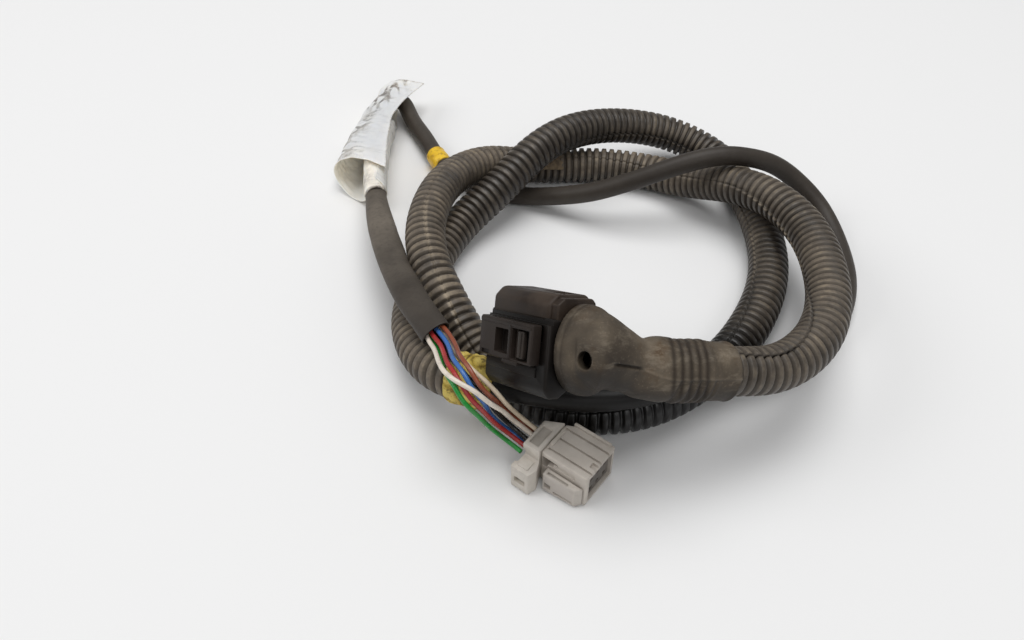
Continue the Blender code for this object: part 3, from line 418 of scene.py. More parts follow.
class Route:
    """A smooth line through given points, with directions across it."""

    def __init__(self, points: np.ndarray, step: float = 0.25) -> None:
        """Fits a natural cubic spline over chord length and spreads points evenly on it.

        Args:
            points: Route points in millimetres.
            step: Distance between the spread points, in millimetres.
        """
        known = np.array(points, float)
        gaps = np.linalg.norm(np.diff(known, axis=0), axis=1)
        bend = spline_bends(known, gaps)
        rows = []
        for i, gap in enumerate(gaps):
            after = np.linspace(0, gap, 20, endpoint=False)[:, None]
            before = gap - after
            rows.append(bend[i] * before ** 3 / (6 * gap) + bend[i + 1] * after ** 3 / (6 * gap)
                        + (known[i] / gap - bend[i] * gap / 6) * before
                        + (known[i + 1] / gap - bend[i + 1] * gap / 6) * after)
        rows.append(known[-1:])
        self._spread(np.vstack(rows), step)

    def _spread(self, curve: np.ndarray, step: float) -> None:
        """Spreads points evenly on a curve and works out their directions.

        Args:
            curve: Close points of the curve.
            step: Distance between the spread points.
        """
        along = np.r_[0, np.cumsum(np.linalg.norm(np.diff(curve, axis=0), axis=1))]
        count = max(8, int(round(along[-1] / step)) + 1)
        self.along = np.linspace(0, along[-1], count)
        self.points = np.stack([np.interp(self.along, along, curve[:, k]) for k in range(3)], 1)
        self.length = float(along[-1])
        ahead = np.gradient(self.points, axis=0)
        ahead = np.stack([running_mean(ahead[:, k], 4) for k in range(3)], 1)
        self.ahead = ahead / np.linalg.norm(ahead, axis=1)[:, None]
        side = np.cross(self.ahead, (0.0, 0.0, 1.0))
        self.side = side / np.linalg.norm(side, axis=1)[:, None]
        self.up = np.cross(self.side, self.ahead)

    def steady(self) -> None:
        """Turns the side directions as little as possible along the line."""
        side = [self.side[0]]
        for ahead in self.ahead[1:]:
            flat = side[-1] - ahead * float(side[-1] @ ahead)
            side.append(flat / np.linalg.norm(flat))
        self.side = np.array(side)
        self.up = np.cross(self.side, self.ahead)

    def read(self, values: np.ndarray, where: np.ndarray) -> np.ndarray:
        """Reads values that belong to the spread points at given distances along the line."""
        return np.stack([np.interp(where, self.along, values[:, k]) for k in range(3)], 1)

    def at(self, where: np.ndarray) -> tuple:
        """Reads the line and its directions at given distances.

        Args:
            where: Distances along the line in millimetres.

        Returns:
            Points, side directions and upward directions, each of shape (n, 3).
        """
        side = self.read(self.side, where)
        up = self.read(self.up, where)
        return (self.read(self.points, where), side / np.linalg.norm(side, axis=1)[:, None],
                up / np.linalg.norm(up, axis=1)[:, None])

    def near(self, point: tuple) -> float:
        """Finds the distance along the line of the place nearest to a point."""
        return float(self.along[np.argmin(np.linalg.norm(self.points - np.array(point), axis=1))])

    def path_in_row(self, count: int) -> list:
        """Returns points of the line in the row frame, as lists for a cord's declaration."""
        return to_row(self.at(np.linspace(0, self.length, count))[0]).tolist()


class Noise:
    """Smooth seeded noise over one or two coordinates, for creases and uneven edges."""

    def __init__(self, seed: int) -> None:
        """Draws the waves.

        Args:
            seed: Number that fixes the pattern.
        """
        random = np.random.default_rng(seed)
        self.turns = random.uniform(-1, 1, (14, 2))
        self.starts = random.uniform(0, 2 * np.pi, 14)
        self.sizes = random.uniform(0.4, 1.0, 14)

    def __call__(self, x: np.ndarray, y: object = 0.0, scale: float = 1.0) -> np.ndarray:
        """Reads the noise, a sum of sines of (a x + b y) 2 pi / scale with drawn a, b and starts.

        Args:
            x: First coordinate.
            y: Second coordinate.
            scale: Size of the largest features.

        Returns:
            Values roughly between -1 and 1.
        """
        total = 0.0
        for turn, start, size in zip(self.turns, self.starts, self.sizes):
            total = total + size * np.sin((turn[0] * x + turn[1] * y) * 2 * np.pi / scale + start)
        return total / 4.2


def add_node(tree: bpy.types.NodeTree, kind: str, inputs: dict | None = None, out: object = 0,
             **settings: object) -> object:
    """Adds one shader node with its settings and links.

    Args:
        tree: The material's or the world's node tree.
        kind: Blender's type name without "ShaderNode".
        inputs: Numbers, vectors, Tints or output sockets for its inputs, by name or index.
        out: Name or index of the output that is handed back.
        **settings: Attributes of the node.

    Returns:
        The output socket, or None where the node has none.
    """
    made = tree.nodes.new("ShaderNode" + kind)
    column, row = len(tree.nodes) % 9, len(tree.nodes) // 9
    made.location = (-220 * (1 + column), -170 * row)
    for key, value in settings.items():
        setattr(made, key, value)
    for key, value in (inputs or {}).items():
        if isinstance(value, bpy.types.NodeSocket):
            tree.links.new(value, made.inputs[key])
        else:
            made.inputs[key].default_value = linear(value) if isinstance(value, Tint) else value
    return made.outputs[out] if made.outputs else None


class Finish:
    """A procedural Principled material: coats of colour, a relief and a roughness."""

    def __init__(self, name: str, colour: Tint, roughness: float, shine: float = 0.5) -> None:
        """Starts a material.

        Args:
            name: Name of the material.
            colour: Colour under all coats.
            roughness: Roughness where no node sets it.
            shine: How strongly the surface mirrors its surroundings; 0.5 is usual.
        """
        self.material = bpy.data.materials.new(name)
        self.material.use_nodes = True
        self.shader = self.material.node_tree.nodes["Principled BSDF"]
        self.shader.inputs["Roughness"].default_value = roughness
        self.shader.inputs["Specular IOR Level"].default_value = shine
        self.colour = colour
        self.normal = None

    def node(self, kind: str, inputs: dict | None = None, out: object = 0,
             **settings: object) -> bpy.types.NodeSocket:
        """Adds a node to this material, as add_node does."""
        return add_node(self.material.node_tree, kind, inputs, out, **settings)

    def grain(self, size: float, detail: float, rough: float,
              stretch: tuple = (1.0, 1.0, 1.0)) -> bpy.types.NodeSocket:
        """Lays an uneven grain over the piece's own Object coordinates.

        Args:
            size: Width of its largest features in millimetres.
            detail: Number of finer layers.
            rough: Weight of each finer layer.
            stretch: How much tighter the grain is along each axis.

        Returns:
            Heights around 0.5.
        """
        place = self.node("TexCoord", out="Object")
        if stretch != (1.0, 1.0, 1.0):
            place = self.node("Mapping", {"Vector": place, "Scale": stretch})
        return self.node("TexNoise", {"Vector": place, "Scale": 1 / (size * MM), "Detail": detail,
                                      "Roughness": rough})

    def cloud(self, grain: tuple, low: float, high: float, start: float = 0.0,
              end: float = 1.0) -> bpy.types.NodeSocket:
        """Turns a grain into clouds with soft edges.

        Args:
            grain: Arguments of the grain.
            low: Height where the clouds begin.
            high: Height where they are full.
            start: Share outside the clouds.
            end: Share inside them.

        Returns:
            The share.
        """
        return self.node("MapRange", {0: self.grain(*grain), 1: low, 2: high, 3: start, 4: end})

    def facing_up(self, low: float, high: float, start: float, end: float) -> bpy.types.NodeSocket:
        """Follows how far the surface faces upwards, where dust settles.

        Args:
            low: Upward part of the normal where the share starts to change.
            high: Upward part where it stops.
            start: Share on the low side.
            end: Share on the high side.

        Returns:
            The share.
        """
        normal = self.node("NewGeometry", out="Normal")
        upward = self.node("SeparateXYZ", {0: normal}, "Z")
        return self.node("MapRange", {0: upward, 1: low, 2: high, 3: start, 4: end})

    def product(self, first: object, *others: object) -> bpy.types.NodeSocket:
        """Multiplies shares with one another.

        Args:
            first: The first value.
            *others: The values to multiply.

        Returns:
            The output that holds the product.
        """
        for other in others:
            first = self.node("Math", {0: first, 1: other}, operation="MULTIPLY")
        return first

    def coat(self, share: object, tint: Tint) -> None:
        """Lays a colour over what is there.

        Args:
            share: How much of it covers, from 0 to 1.
            tint: The colour.
        """
        self.colour = self.node("Mix", {0: share, 6: self.colour, 7: tint}, 2, data_type="RGBA")

    def relief(self, height: object, strength: float, depth: float) -> None:
        """Adds a fine relief on top of any earlier one.

        Args:
            height: Its height, from 0 to 1.
            strength: Strength of the bump.
            depth: Depth of the relief in millimetres.
        """
        inputs = {"Height": height, "Strength": strength, "Distance": depth * MM}
        if self.normal is not None:
            inputs["Normal"] = self.normal
        self.normal = self.node("Bump", inputs)

    def done(self, roughness: object = None) -> bpy.types.Material:
        """Links the coats, the relief and the roughness to the shader.

        Args:
            roughness: A share that the roughness follows, a number, or None to leave it.

        Returns:
            The material.
        """
        tree = self.material.node_tree
        for name, value in (("Base Color", self.colour), ("Normal", self.normal), ("Roughness", roughness)):
            if isinstance(value, bpy.types.NodeSocket):
                tree.links.new(value, self.shader.inputs[name])
            elif value is not None:
                self.shader.inputs[name].default_value = linear(value) if isinstance(value, Tint) else value
        return self.material


@dataclass(frozen=True)
class SplitConduitPolypropylene:
    """Blown black polypropylene: half glossy where clean, matt and brown where dust lies.

    Pale crests are a painted highlight, valleys with less dust are painted shade, clean stretches shine.
    """

    def make(self) -> bpy.types.Material:
        """Builds the material.

        Returns:
            The material.
        """
        f = Finish("conduit_plastic", Tint.CONDUIT_CLEAN, 0.45)
        dust = f.node("Attribute", out="Fac", attribute_name="dust")
        crest = f.node("Attribute", out="Fac", attribute_name="crest")
        grime = f.node("Attribute", out="Fac", attribute_name="grime")
        lying = f.product(dust, f.cloud((11.1, 5, 0.6), 0.32, 0.68, 0.35), f.facing_up(-0.5, 0.8, 0.35, 1.0))
        amount = f.product(lying, f.cloud((1.11, 3, 0.6), 0.3, 0.7, 0.7, 1.05))
        # Less dust in the valleys than on the crests: partly dust, partly painted shade in the valleys.
        f.coat(f.product(amount, f.node("MapRange", {0: crest, 3: 0.55})), Tint.CONDUIT_DUST)
        # Painted highlight: paler patches on the crest tops.
        crest_highlight = f.product(f.cloud((3.85, 4, 0.55), 0.45, 0.7), amount)
        f.coat(f.product(f.node("MapRange", {0: crest, 1: 0.93}), crest_highlight), Tint.CONDUIT_CREST_HIGHLIGHT)
        f.coat(f.node("Attribute", out="Fac", attribute_name="worn"), Tint.CONDUIT_WORN)
        # Painted shade: the stretch in the boot's shade is painted near black.
        f.coat(f.product(grime, 0.95), Tint.GRIME)
        f.relief(f.grain(0.667, 3, 0.6), 0.12, 0.3)
        return f.done(f.node("MapRange", {0: amount, 2: 0.7, 3: 0.3, 4: 0.72}))


@dataclass(frozen=True)
class SleeveVinyl:
    """Extruded vinyl: satin and dark, with soft clouds of dust, and painted shade under the boot and inside
    its mouth.
    """

    def make(self) -> bpy.types.Material:
        """Builds the material.

        Returns:
            The material.
        """
        f = Finish("sleeve_vinyl", Tint.SLEEVE, 0.6, shine=0.32)
        settled = f.node("Attribute", out="Fac", attribute_name="dust")
        grime = f.node("Attribute", out="Fac", attribute_name="grime")
        dust = f.product(f.cloud((14.3, 5, 0.62), 0.3, 0.7, 0.45, 1.15), settled)
        f.coat(dust, Tint.SLEEVE_DUST)
        f.coat(f.cloud((1.43, 3, 0.55), 0.5, 0.75, 0.0, 0.35), Tint.SLEEVE_SPECK)
        # Painted shade where the sleeve runs under the connector and the boot.
        f.coat(f.product(grime, 0.93), Tint.GRIME)
        # Painted shade inside the sleeve's mouth.
        f.coat(f.node("Attribute", out="Fac", attribute_name="inside"), Tint.SLEEVE_INSIDE_SHADE)
        f.relief(f.grain(4.17, 4, 0.6), 0.25, 0.6)
        f.relief(f.grain(1.43, 3, 0.55), 0.15, 0.3)
        return f.done(f.node("MapRange", {0: dust, 3: 0.48, 4: 0.68}))


@dataclass(frozen=True)
class BootRubber:
    """Old moulded rubber: matt greyish brown, dusty on top, stained and rubbed pale, with painted shade
    below.
    """

    def make(self) -> bpy.types.Material:
        """Builds the material.

        Returns:
            The material.
        """
        f = Finish("boot_rubber", Tint.RUBBER, 0.68, shine=0.28)
        pale = f.node("Attribute", out="Fac", attribute_name="pale")
        grime = f.node("Attribute", out="Fac", attribute_name="grime")
        groove = f.node("Attribute", out="Fac", attribute_name="groove")
        dust = f.product(f.cloud((18.2, 6, 0.62), 0.32, 0.68), f.facing_up(-0.3, 0.9, 0.35, 0.95))
        f.coat(dust, Tint.RUBBER_DUST)
        f.coat(f.cloud((14.3, 5, 0.7), 0.52, 0.68, 0.0, 0.8), Tint.RUBBER_STAIN)
        f.coat(f.cloud((6.67, 6, 0.75, (0.45, 1.0, 1.6)), 0.54, 0.66, 0.0, 0.5), Tint.RUBBER_STREAK)
        f.coat(f.cloud((0.769, 2, 0.5), 0.6, 0.75, 0.0, 0.45), Tint.RUBBER_SPECK)
        f.coat(f.product(pale, f.cloud((3.33, 4, 0.55), 0.35, 0.65, 0.1, 0.7)), Tint.RUBBER_PALE)
        # Painted shade: darker along the head and on the underside, in random patches.
        f.coat(f.product(grime, 0.85), Tint.RUBBER_PAINTED_SHADE)
        f.coat(f.product(groove, 0.8), Tint.RUBBER_GROOVE)
        # Painted shade on faces that point down.
        f.coat(f.facing_up(-0.06, 0.3, 0.55, 0.0), Tint.RUBBER_UNDERSIDE_SHADE)
        f.relief(f.grain(2.38, 4, 0.6), 0.22, 0.4)
        f.relief(f.grain(0.455, 2, 0.55), 0.12, 0.2)
        return f.done(f.node("MapRange", {0: dust, 3: 0.5, 4: 0.8}))


@dataclass(frozen=True)
class MouldedNylon:
    """Moulded black nylon: satin, with a film of dust on top and edges rubbed lighter."""

    name: str
    base: Tint
    dust: Tint
    share: float

    def make(self) -> bpy.types.Material:
        """Builds the material.

        Returns:
            The material.
        """
        f = Finish(self.name, self.base, 0.45, shine=0.18)
        edges = f.node("NewGeometry", out="Pointiness")
        film = f.product(f.cloud((12.5, 5, 0.6), 0.35, 0.7), self.share, f.facing_up(-0.2, 0.9, 0.3, 1.0))
        f.coat(film, self.dust)
        f.coat(f.node("MapRange", {0: edges, 1: 0.52, 2: 0.6, 4: 0.5}), self.dust)
        f.relief(f.grain(0.556, 2, 0.5), 0.1, 0.2)
        return f.done(f.node("MapRange", {0: film, 2: 0.8, 3: 0.34, 4: 0.66}))


@dataclass(frozen=True)
class GreyNylon:
    """Moulded grey nylon: matt, with painted shade in its corners and paler rubbed edges."""

    name: str
    base: Tint
    light: Tint

    def make(self) -> bpy.types.Material:
        """Builds the material.

        Returns:
            The material.
        """
        f = Finish(self.name, self.base, 0.5)
        edges = f.node("NewGeometry", out="Pointiness")
        cloud = f.cloud((9.09, 6, 0.62), 0.3, 0.72)
        f.coat(cloud, self.light)
        f.coat(f.cloud((16.7, 5, 0.7), 0.5, 0.72, 0.0, 0.4), Tint.GREY_DIRT)
        # Painted shade in the hollow corners.
        f.coat(f.node("MapRange", {0: edges, 1: 0.47, 2: 0.4, 4: 0.8}), Tint.GREY_CREVICE_SHADE)
        f.coat(f.node("MapRange", {0: edges, 1: 0.53, 2: 0.6, 4: 0.45}), Tint.GREY_WORN)
        f.relief(f.grain(0.667, 3, 0.5), 0.1, 0.2)
        return f.done(f.node("MapRange", {0: cloud, 3: 0.42, 4: 0.58}))


@dataclass(frozen=True)
class ClothTape:
    """Woven cotton tape with yellow gum: matt, a fine weave, painted highlight on its folds and painted
    shade in its creases.

    The real weave is too fine to show, so it is drawn coarser.
    """

    def make(self) -> bpy.types.Material:
        """Builds the material.

        Returns:
            The material.
        """
        f = Finish("cloth_tape", Tint.TAPE_DULL, 0.7)
        fold = f.node("Attribute", out="Fac", attribute_name="fold")
        f.coat(f.cloud((6.25, 5, 0.6), 0.3, 0.7), Tint.TAPE)
        # Painted highlight on the raised folds.
        f.coat(f.node("MapRange", {0: fold, 1: 0.2, 2: 0.9}), Tint.TAPE_FOLD_HIGHLIGHT)
        # Painted shade in the creases between the folds.
        f.coat(f.node("MapRange", {0: fold, 1: 0.16, 2: 0.02, 4: 0.8}), Tint.TAPE_CREASE_SHADE)
        f.coat(f.cloud((2.63, 5, 0.75), 0.53, 0.62, 0.0, 0.75), Tint.TAPE_STAIN)
        uv = f.node("TexCoord", out="UV")
        threads = [
            f.node("TexWave", {"Vector": uv, "Scale": count, "Distortion": 0.6}, 1, bands_direction=axis)
            for axis, count in (("X", 60.0), ("Y", 46.0))
        ]
        f.relief(f.product(*threads), 0.35, 0.3)
        f.relief(f.grain(3.03, 5, 0.65), 0.9, 1.4)
        return f.done(0.72)


@dataclass(frozen=True)
class MarkerVinyl:
    """Bright yellow vinyl tape: smooth, half glossy, with soft dirt."""

    def make(self) -> bpy.types.Material:
        """Builds the material.

        Returns:
            The material.
        """
        f = Finish("marker_vinyl", Tint.MARKER, 0.35)
        f.coat(f.cloud((4.76, 4, 0.55), 0.4, 0.75, 0.0, 0.6), Tint.MARKER_DULL)
        f.coat(f.cloud((2.38, 4, 0.55), 0.55, 0.66, 0.0, 0.6), Tint.MARKER_STAIN)
        f.relief(f.grain(2.63, 4, 0.55), 0.3, 0.5)
        return f.done(f.cloud((3.33, 3, 0.55), 0.3, 0.7, 0.3, 0.5))


@dataclass(frozen=True)
class LabelFilm:
    """Bare polypropylene label film: off-white, a little light goes through, dirt along its folds."""

    glow: float = 0.75
    glow_reach: tuple = (1.0, 0.9, 0.75)
    glow_depth: float = 2.2

    def make(self) -> bpy.types.Material:
        """Builds the material.

        Returns:
            The material.
        """
        f = Finish("label_film", Tint.LABEL, 0.42)
        f.shader.inputs["Subsurface Weight"].default_value = self.glow
        f.shader.inputs["Subsurface Radius"].default_value = self.glow_reach
        f.shader.inputs["Subsurface Scale"].default_value = self.glow_depth * MM
        dirt = f.node("Attribute", out="Fac", attribute_name="dirt")
        f.coat(f.node("Attribute", out="Fac", attribute_name="inner"), Tint.LABEL_INSIDE)
        streak = f.cloud((2.38, 6, 0.72), 0.36, 0.56, 0.25)
        f.coat(f.product(streak, dirt), Tint.LABEL_DIRT)
        speck = f.cloud((1.54, 4, 0.7), 0.6, 0.74, 0.0, 0.6)
        f.coat(f.product(speck, f.node("MapRange", {0: dirt, 3: 0.25})), Tint.LABEL_SPECK)
        f.relief(f.grain(5.88, 5, 0.6), 0.5, 1.2)
        return f.done(f.node("MapRange", {0: streak, 3: 0.36, 4: 0.6}))


@dataclass(frozen=True)
class FabricStrip:
    """Woven fabric tape, matt and dirty, with a coarse uneven surface."""

    def make(self) -> bpy.types.Material:
        """Builds the material.

        Returns:
            The material.
        """
        f = Finish("strip_fabric", Tint.STRIP_DIRT, 0.8)
        f.coat(f.cloud((3.33, 5, 0.65), 0.3, 0.7), Tint.STRIP)
        f.relief(f.grain(1.11, 4, 0.6), 0.5, 0.4)
        return f.done(0.82)


@dataclass(frozen=True)
class WireInsulation:
    """Extruded vinyl insulation: glossy, with a little dull dirt."""

    tint: Tint
    dirt: Tint = Tint.WIRE_DIRT

    def make(self) -> bpy.types.Material:
        """Builds the material.

        Returns:
            The material.
        """
        f = Finish("insulation_" + self.tint.name.lower(), self.tint, 0.3)
        cloud = f.cloud((3.85, 5, 0.65), 0.5, 0.75, 0.0, 0.45)
        f.coat(cloud, self.dirt)
        f.relief(f.grain(1.25, 2, 0.55), 0.08, 0.2)
        return f.done(f.node("MapRange", {0: cloud, 2: 0.45, 3: 0.26, 4: 0.5}))


@dataclass(frozen=True)
class HiddenPlastic:
    """A plain moulded plastic for pieces that hardly show."""

    name: str
    tint: Tint
    roughness: float = 0.5

    def make(self) -> bpy.types.Material:
        """Builds the material.

        Returns:
            The material.
        """
        f = Finish(self.name, self.tint, self.roughness)
        f.coat(f.cloud((4.17, 4, 0.55), 0.3, 0.7, 0.0, 0.35), Tint.HIDDEN_SHADE)
        f.relief(f.grain(0.833, 2, 0.55), 0.1, 0.2)
        return f.done()


def ride(item: bpy.types.Object, node: str, material: bpy.types.Material,
         smooth: bool = True) -> bpy.types.Object:
    """Finishes a new piece: it rides on the root body and stands for a CAD node.

    Args:
        item: The piece.
        node: CAD node that the piece replaces.
        material: Material to assign.
        smooth: Whether its faces are shaded smooth.

    Returns:
        The piece.
    """
    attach(item, "root")
    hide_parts(node)
    item.data.materials.clear()
    item.data.materials.append(material)
    if smooth:
        item.data.shade_smooth()
    return item


def linked(name: str, mesh: bpy.types.Mesh) -> bpy.types.Object:
    """Puts a mesh into the scene as an object."""
    item = bpy.data.objects.new(name, mesh)
    bpy.context.scene.collection.objects.link(item)
    return item


def face_out(item: bpy.types.Object) -> None:
    """Turns all faces of a mesh outwards.

    Args:
        item: The object.
    """
    work = bmesh.new()
    work.from_mesh(item.data)
    bmesh.ops.recalc_face_normals(work, faces=work.faces)
    work.to_mesh(item.data)
    work.free()


def write_attributes(mesh: bpy.types.Mesh, values: dict) -> None:
    """Stores one number per vertex under each name.

    Args:
        mesh: The mesh.
        values: Arrays by attribute name.
    """
    for name, numbers in values.items():
        made = mesh.attributes.new(name, "FLOAT", "POINT")
        made.data.foreach_set("value", numbers.reshape(-1).astype(np.float32))


def grid_mesh(name: str, grid: np.ndarray, capped: bool = False,
              attributes: dict | None = None) -> bpy.types.Object:
    """Makes a tube over a grid of points whose columns close on themselves.

    Point (i, j) joins (i, j + 1), (i + 1, j + 1) and (i + 1, j) in one face, with j taken
    modulo the number of columns. The UV map is (j / columns, i / rows).

    Args:
        name: Name of the object.
        grid: Array of shape (rows, columns, 3) in the row frame.
        capped: Whether to close the first and the last row.
        attributes: Values per grid point, or broadcastable to it, by attribute name.

    Returns:
        The new object.
    """
    rows, columns = grid.shape[:2]
    i = np.arange(rows - 1)[:, None] * columns
    j = np.arange(columns)[None, :]
    k = (j + 1) % columns
    faces = np.stack(np.broadcast_arrays(i + j, i + k, i + columns + k, i + columns + j), -1)
    ends = [np.arange(columns - 1, -1, -1), (rows - 1) * columns + np.arange(columns)] if capped else []
    loops = np.concatenate([faces.ravel()] + ends).astype(np.int32)
    sizes = np.array([4] * (rows - 1) * columns + [len(end) for end in ends], np.int32)
    mesh = bpy.data.meshes.new(name)
    mesh.vertices.add(rows * columns)
    mesh.vertices.foreach_set("co", grid.reshape(-1).astype(np.float32))
    mesh.loops.add(len(loops))
    mesh.loops.foreach_set("vertex_index", loops)
    mesh.polygons.add(len(sizes))
    mesh.polygons.foreach_set("loop_start", np.r_[0, np.cumsum(sizes)[:-1]].astype(np.int32))
    mesh.update(calc_edges=True)
    flat = np.stack([loops % columns / columns, loops // columns / rows], 1)
    mesh.uv_layers.new(name="UVMap").data.foreach_set("uv", flat.astype(np.float32).ravel())
    write_attributes(mesh, {key: np.broadcast_to(values, (rows, columns))
                            for key, values in (attributes or {}).items()})
    mesh.validate()
    item = linked(name, mesh)
    face_out(item)
    return item


def baked(item: bpy.types.Object, name: str) -> bpy.types.Object:
    """Replaces an object and its modifiers by a plain mesh object.

    Args:
        item: Object with modifiers.
        name: Name of the result.

    Returns:
        The new object.
    """
    view = bpy.context.evaluated_depsgraph_get()
    made = linked(name, bpy.data.meshes.new_from_object(item.evaluated_get(view)))
    bpy.data.objects.remove(item, do_unlink=True)
    return made


def ring_points(centres: np.ndarray, side: np.ndarray, up: np.ndarray, radii: object,
                angles: np.ndarray) -> np.ndarray:
    """Places rings across a line: centre + r cos(a) side + r sin(a) up.

    Args:
        centres: Ring centres, shape (n, 3).
        side: Side directions, shape (n, 3).
        up: Upward directions, shape (n, 3).
        radii: Radii of shape (n, m), or broadcastable to it.
        angles: Angles of shape (n, m) or (m,), in radians.

    Returns:
        Points of shape (n, m, 3).
    """
    angles = np.broadcast_to(angles, (len(centres), np.shape(angles)[-1]))
    radii = np.broadcast_to(radii, angles.shape)
    return (centres[:, None] + (radii * np.cos(angles))[..., None] * side[:, None]
            + (radii * np.sin(angles))[..., None] * up[:, None])


def closed_rings(centres: np.ndarray, side: np.ndarray, up: np.ndarray, radii: np.ndarray,
                 angles: np.ndarray, ends: tuple) -> np.ndarray:
    """Places rings across a line and turns both ends in to a smaller ring.

    Args:
        centres: Ring centres, shape (n, 3).
        side: Side directions, shape (n, 3).
        up: Upward directions, shape (n, 3).
        radii: Radii of shape (n, m).
        angles: Angles of shape (m,), in radians.
        ends: Radii of the first and the last extra ring.

    Returns:
        Points of shape (n + 2, m, 3) in the row frame.
    """
    first = ring_points(centres[:1], side[:1], up[:1], ends[0], angles)
    last = ring_points(centres[-1:], side[-1:], up[-1:], ends[1], angles)
    return to_row(np.concatenate([first, ring_points(centres, side, up, radii, angles), last]))


@dataclass
class LocalFrame:
    """A frame in millimetres on a connector, the same as the one its solids were made in.

    Attributes:
        corner: Its origin in table millimetres.
        x_axis: Rough direction of its X.
        z_axis: Direction of its Z.
    """

    corner: tuple
    x_axis: tuple
    z_axis: tuple
    turn: np.ndarray = field(init=False)

    def __post_init__(self) -> None:
        """Works out the frame's three axes, with Z kept and X made square to it."""
        z = np.array(self.z_axis, float) / np.linalg.norm(self.z_axis)
        x = np.array(self.x_axis, float) / np.linalg.norm(self.x_axis)
        y = np.cross(z, x)
        y /= np.linalg.norm(y)
        self.turn = np.stack([np.cross(y, z), y, z])

    def place(self, points: np.ndarray) -> object:
        """Moves local millimetres into the row frame."""
        return to_row(np.array(self.corner) + np.asarray(points, float) @ self.turn)

    def local(self, points: np.ndarray) -> np.ndarray:
        """Moves row frame points into local millimetres."""
        return (np.asarray(points) / MM + ORIGIN - np.array(self.corner)) @ self.turn.T


def polygon_mesh(name: str, vertices: np.ndarray, faces: list) -> bpy.types.Object:
    """Makes an object from vertices and faces, turned outwards.

    Args:
        name: Name of the object.
        vertices: Points in the row frame.
        faces: Tuples of vertex numbers.

    Returns:
        The new object.
    """
    mesh = bpy.data.meshes.new(name)
    mesh.from_pydata([tuple(v) for v in vertices], [], faces)
    item = linked(name, mesh)
    face_out(item)
    return item


def bevelled(item: bpy.types.Object, width: float, segments: int = 3, angle: float = 30) -> bpy.types.Object:
    """Rounds the edges of an object.

    Args:
        item: The object.
        width: Width of the bevel in millimetres.
        segments: Number of its segments.
        angle: Angle in degrees above which an edge is rounded.

    Returns:
        The object.
    """
    change = item.modifiers.new("edges", "BEVEL")
    change.width = width * MM
    change.segments = segments
    change.limit_method = "ANGLE"
    change.angle_limit = math.radians(angle)
    return item


def prism(base: LocalFrame, outline: tuple, low: float, high: float, bevel: float = 0.0,
          segments: int = 3) -> bpy.types.Object:
    """Extrudes an outline along a local frame's Z.

    Args:
        base: The LocalFrame.
        outline: (x, y) pairs in millimetres.
        low: Lower end.
        high: Upper end.
        bevel: Radius of its edges.
        segments: Bevel segments.

    Returns:
        The new object.
    """
    flat = np.array(outline, float)
    count = len(flat)
    points = np.vstack([np.c_[flat, np.full(count, low)], np.c_[flat, np.full(count, high)]])
    faces = [tuple(range(count)), tuple(range(count, 2 * count))]
    faces += [(j, (j + 1) % count, count + (j + 1) % count, count + j) for j in range(count)]
    item = polygon_mesh("prism", base.place(points), faces)
    return bevelled(item, bevel, segments) if bevel else item


def block(base: LocalFrame, low: tuple, high: tuple, bevel: float = 0.0) -> bpy.types.Object:
    """Makes a box between two local corners."""
    outline = ((low[0], low[1]), (high[0], low[1]), (high[0], high[1]), (low[0], high[1]))
    return prism(base, outline, low[2], high[2], bevel)


def blocks(base: LocalFrame, *rows: tuple) -> list:
    """Makes a box for every row of two corners and a bevel."""
    return [block(base, low, high, bevel) for low, high, bevel in rows]


def turned(base: LocalFrame, profile: tuple, sides: int = 72, centre: tuple = (0.0, 0.0),
           narrowing: float = 1.0) -> bpy.types.Object:
    """Turns (radius, height) pairs about a local frame's Z: (r cos(a) narrowing, r sin(a), h).

    Args:
        base: The LocalFrame.
        profile: Pairs that start and end on the axis.
        sides: Number of sides.
        centre: Where the axis stands.
        narrowing: How much narrower an oval is along X.

    Returns:
        The new object.
    """
    angles = circle(sides)
    inner = np.array(profile[1:-1], float)
    rows = np.stack([inner[:, :1] * np.cos(angles) * narrowing + centre[0],
                     inner[:, :1] * np.sin(angles) + centre[1],
                     np.repeat(inner[:, 1:], sides, 1)], -1)
    ends = np.array([[centre[0], centre[1], profile[0][1]], [centre[0], centre[1], profile[-1][1]]])
    points = np.vstack([rows.reshape(-1, 3), ends])
    count = len(inner)
    faces = []
    for j in range(sides):
        k = (j + 1) % sides
        faces.append((count * sides, k, j))
        faces.append((count * sides + 1, (count - 1) * sides + j, (count - 1) * sides + k))
        faces += [(i * sides + j, i * sides + k, (i + 1) * sides + k, (i + 1) * sides + j)
                  for i in range(count - 1)]
    return polygon_mesh("turned", base.place(points), faces)


def joined(*items: bpy.types.Object) -> bpy.types.Object:
    """Joins meshes into the first one, faces and all.

    Args:
        *items: The objects; all but the first are used up.

    Returns:
        The first object.
    """
    work = bmesh.new()
    for item in items:
        work.from_mesh(item.data)
    work.to_mesh(items[0].data)
    work.free()
    for item in items[1:]:
        bpy.data.objects.remove(item, do_unlink=True)
    return items[0]


def remeshed(item: bpy.types.Object, size: float) -> bpy.types.Object:
    """Rebuilds an object's surface on a fine even grid, which unites what overlaps.

    Args:
        item: The object, which is used up.
        size: Width of a grid cell in millimetres.

    Returns:
        The new object.
    """
    change = item.modifiers.new("even", "REMESH")
    change.mode = "VOXEL"
    change.voxel_size = size * MM
    change.use_smooth_shade = True
    return baked(item, item.name + "_even")


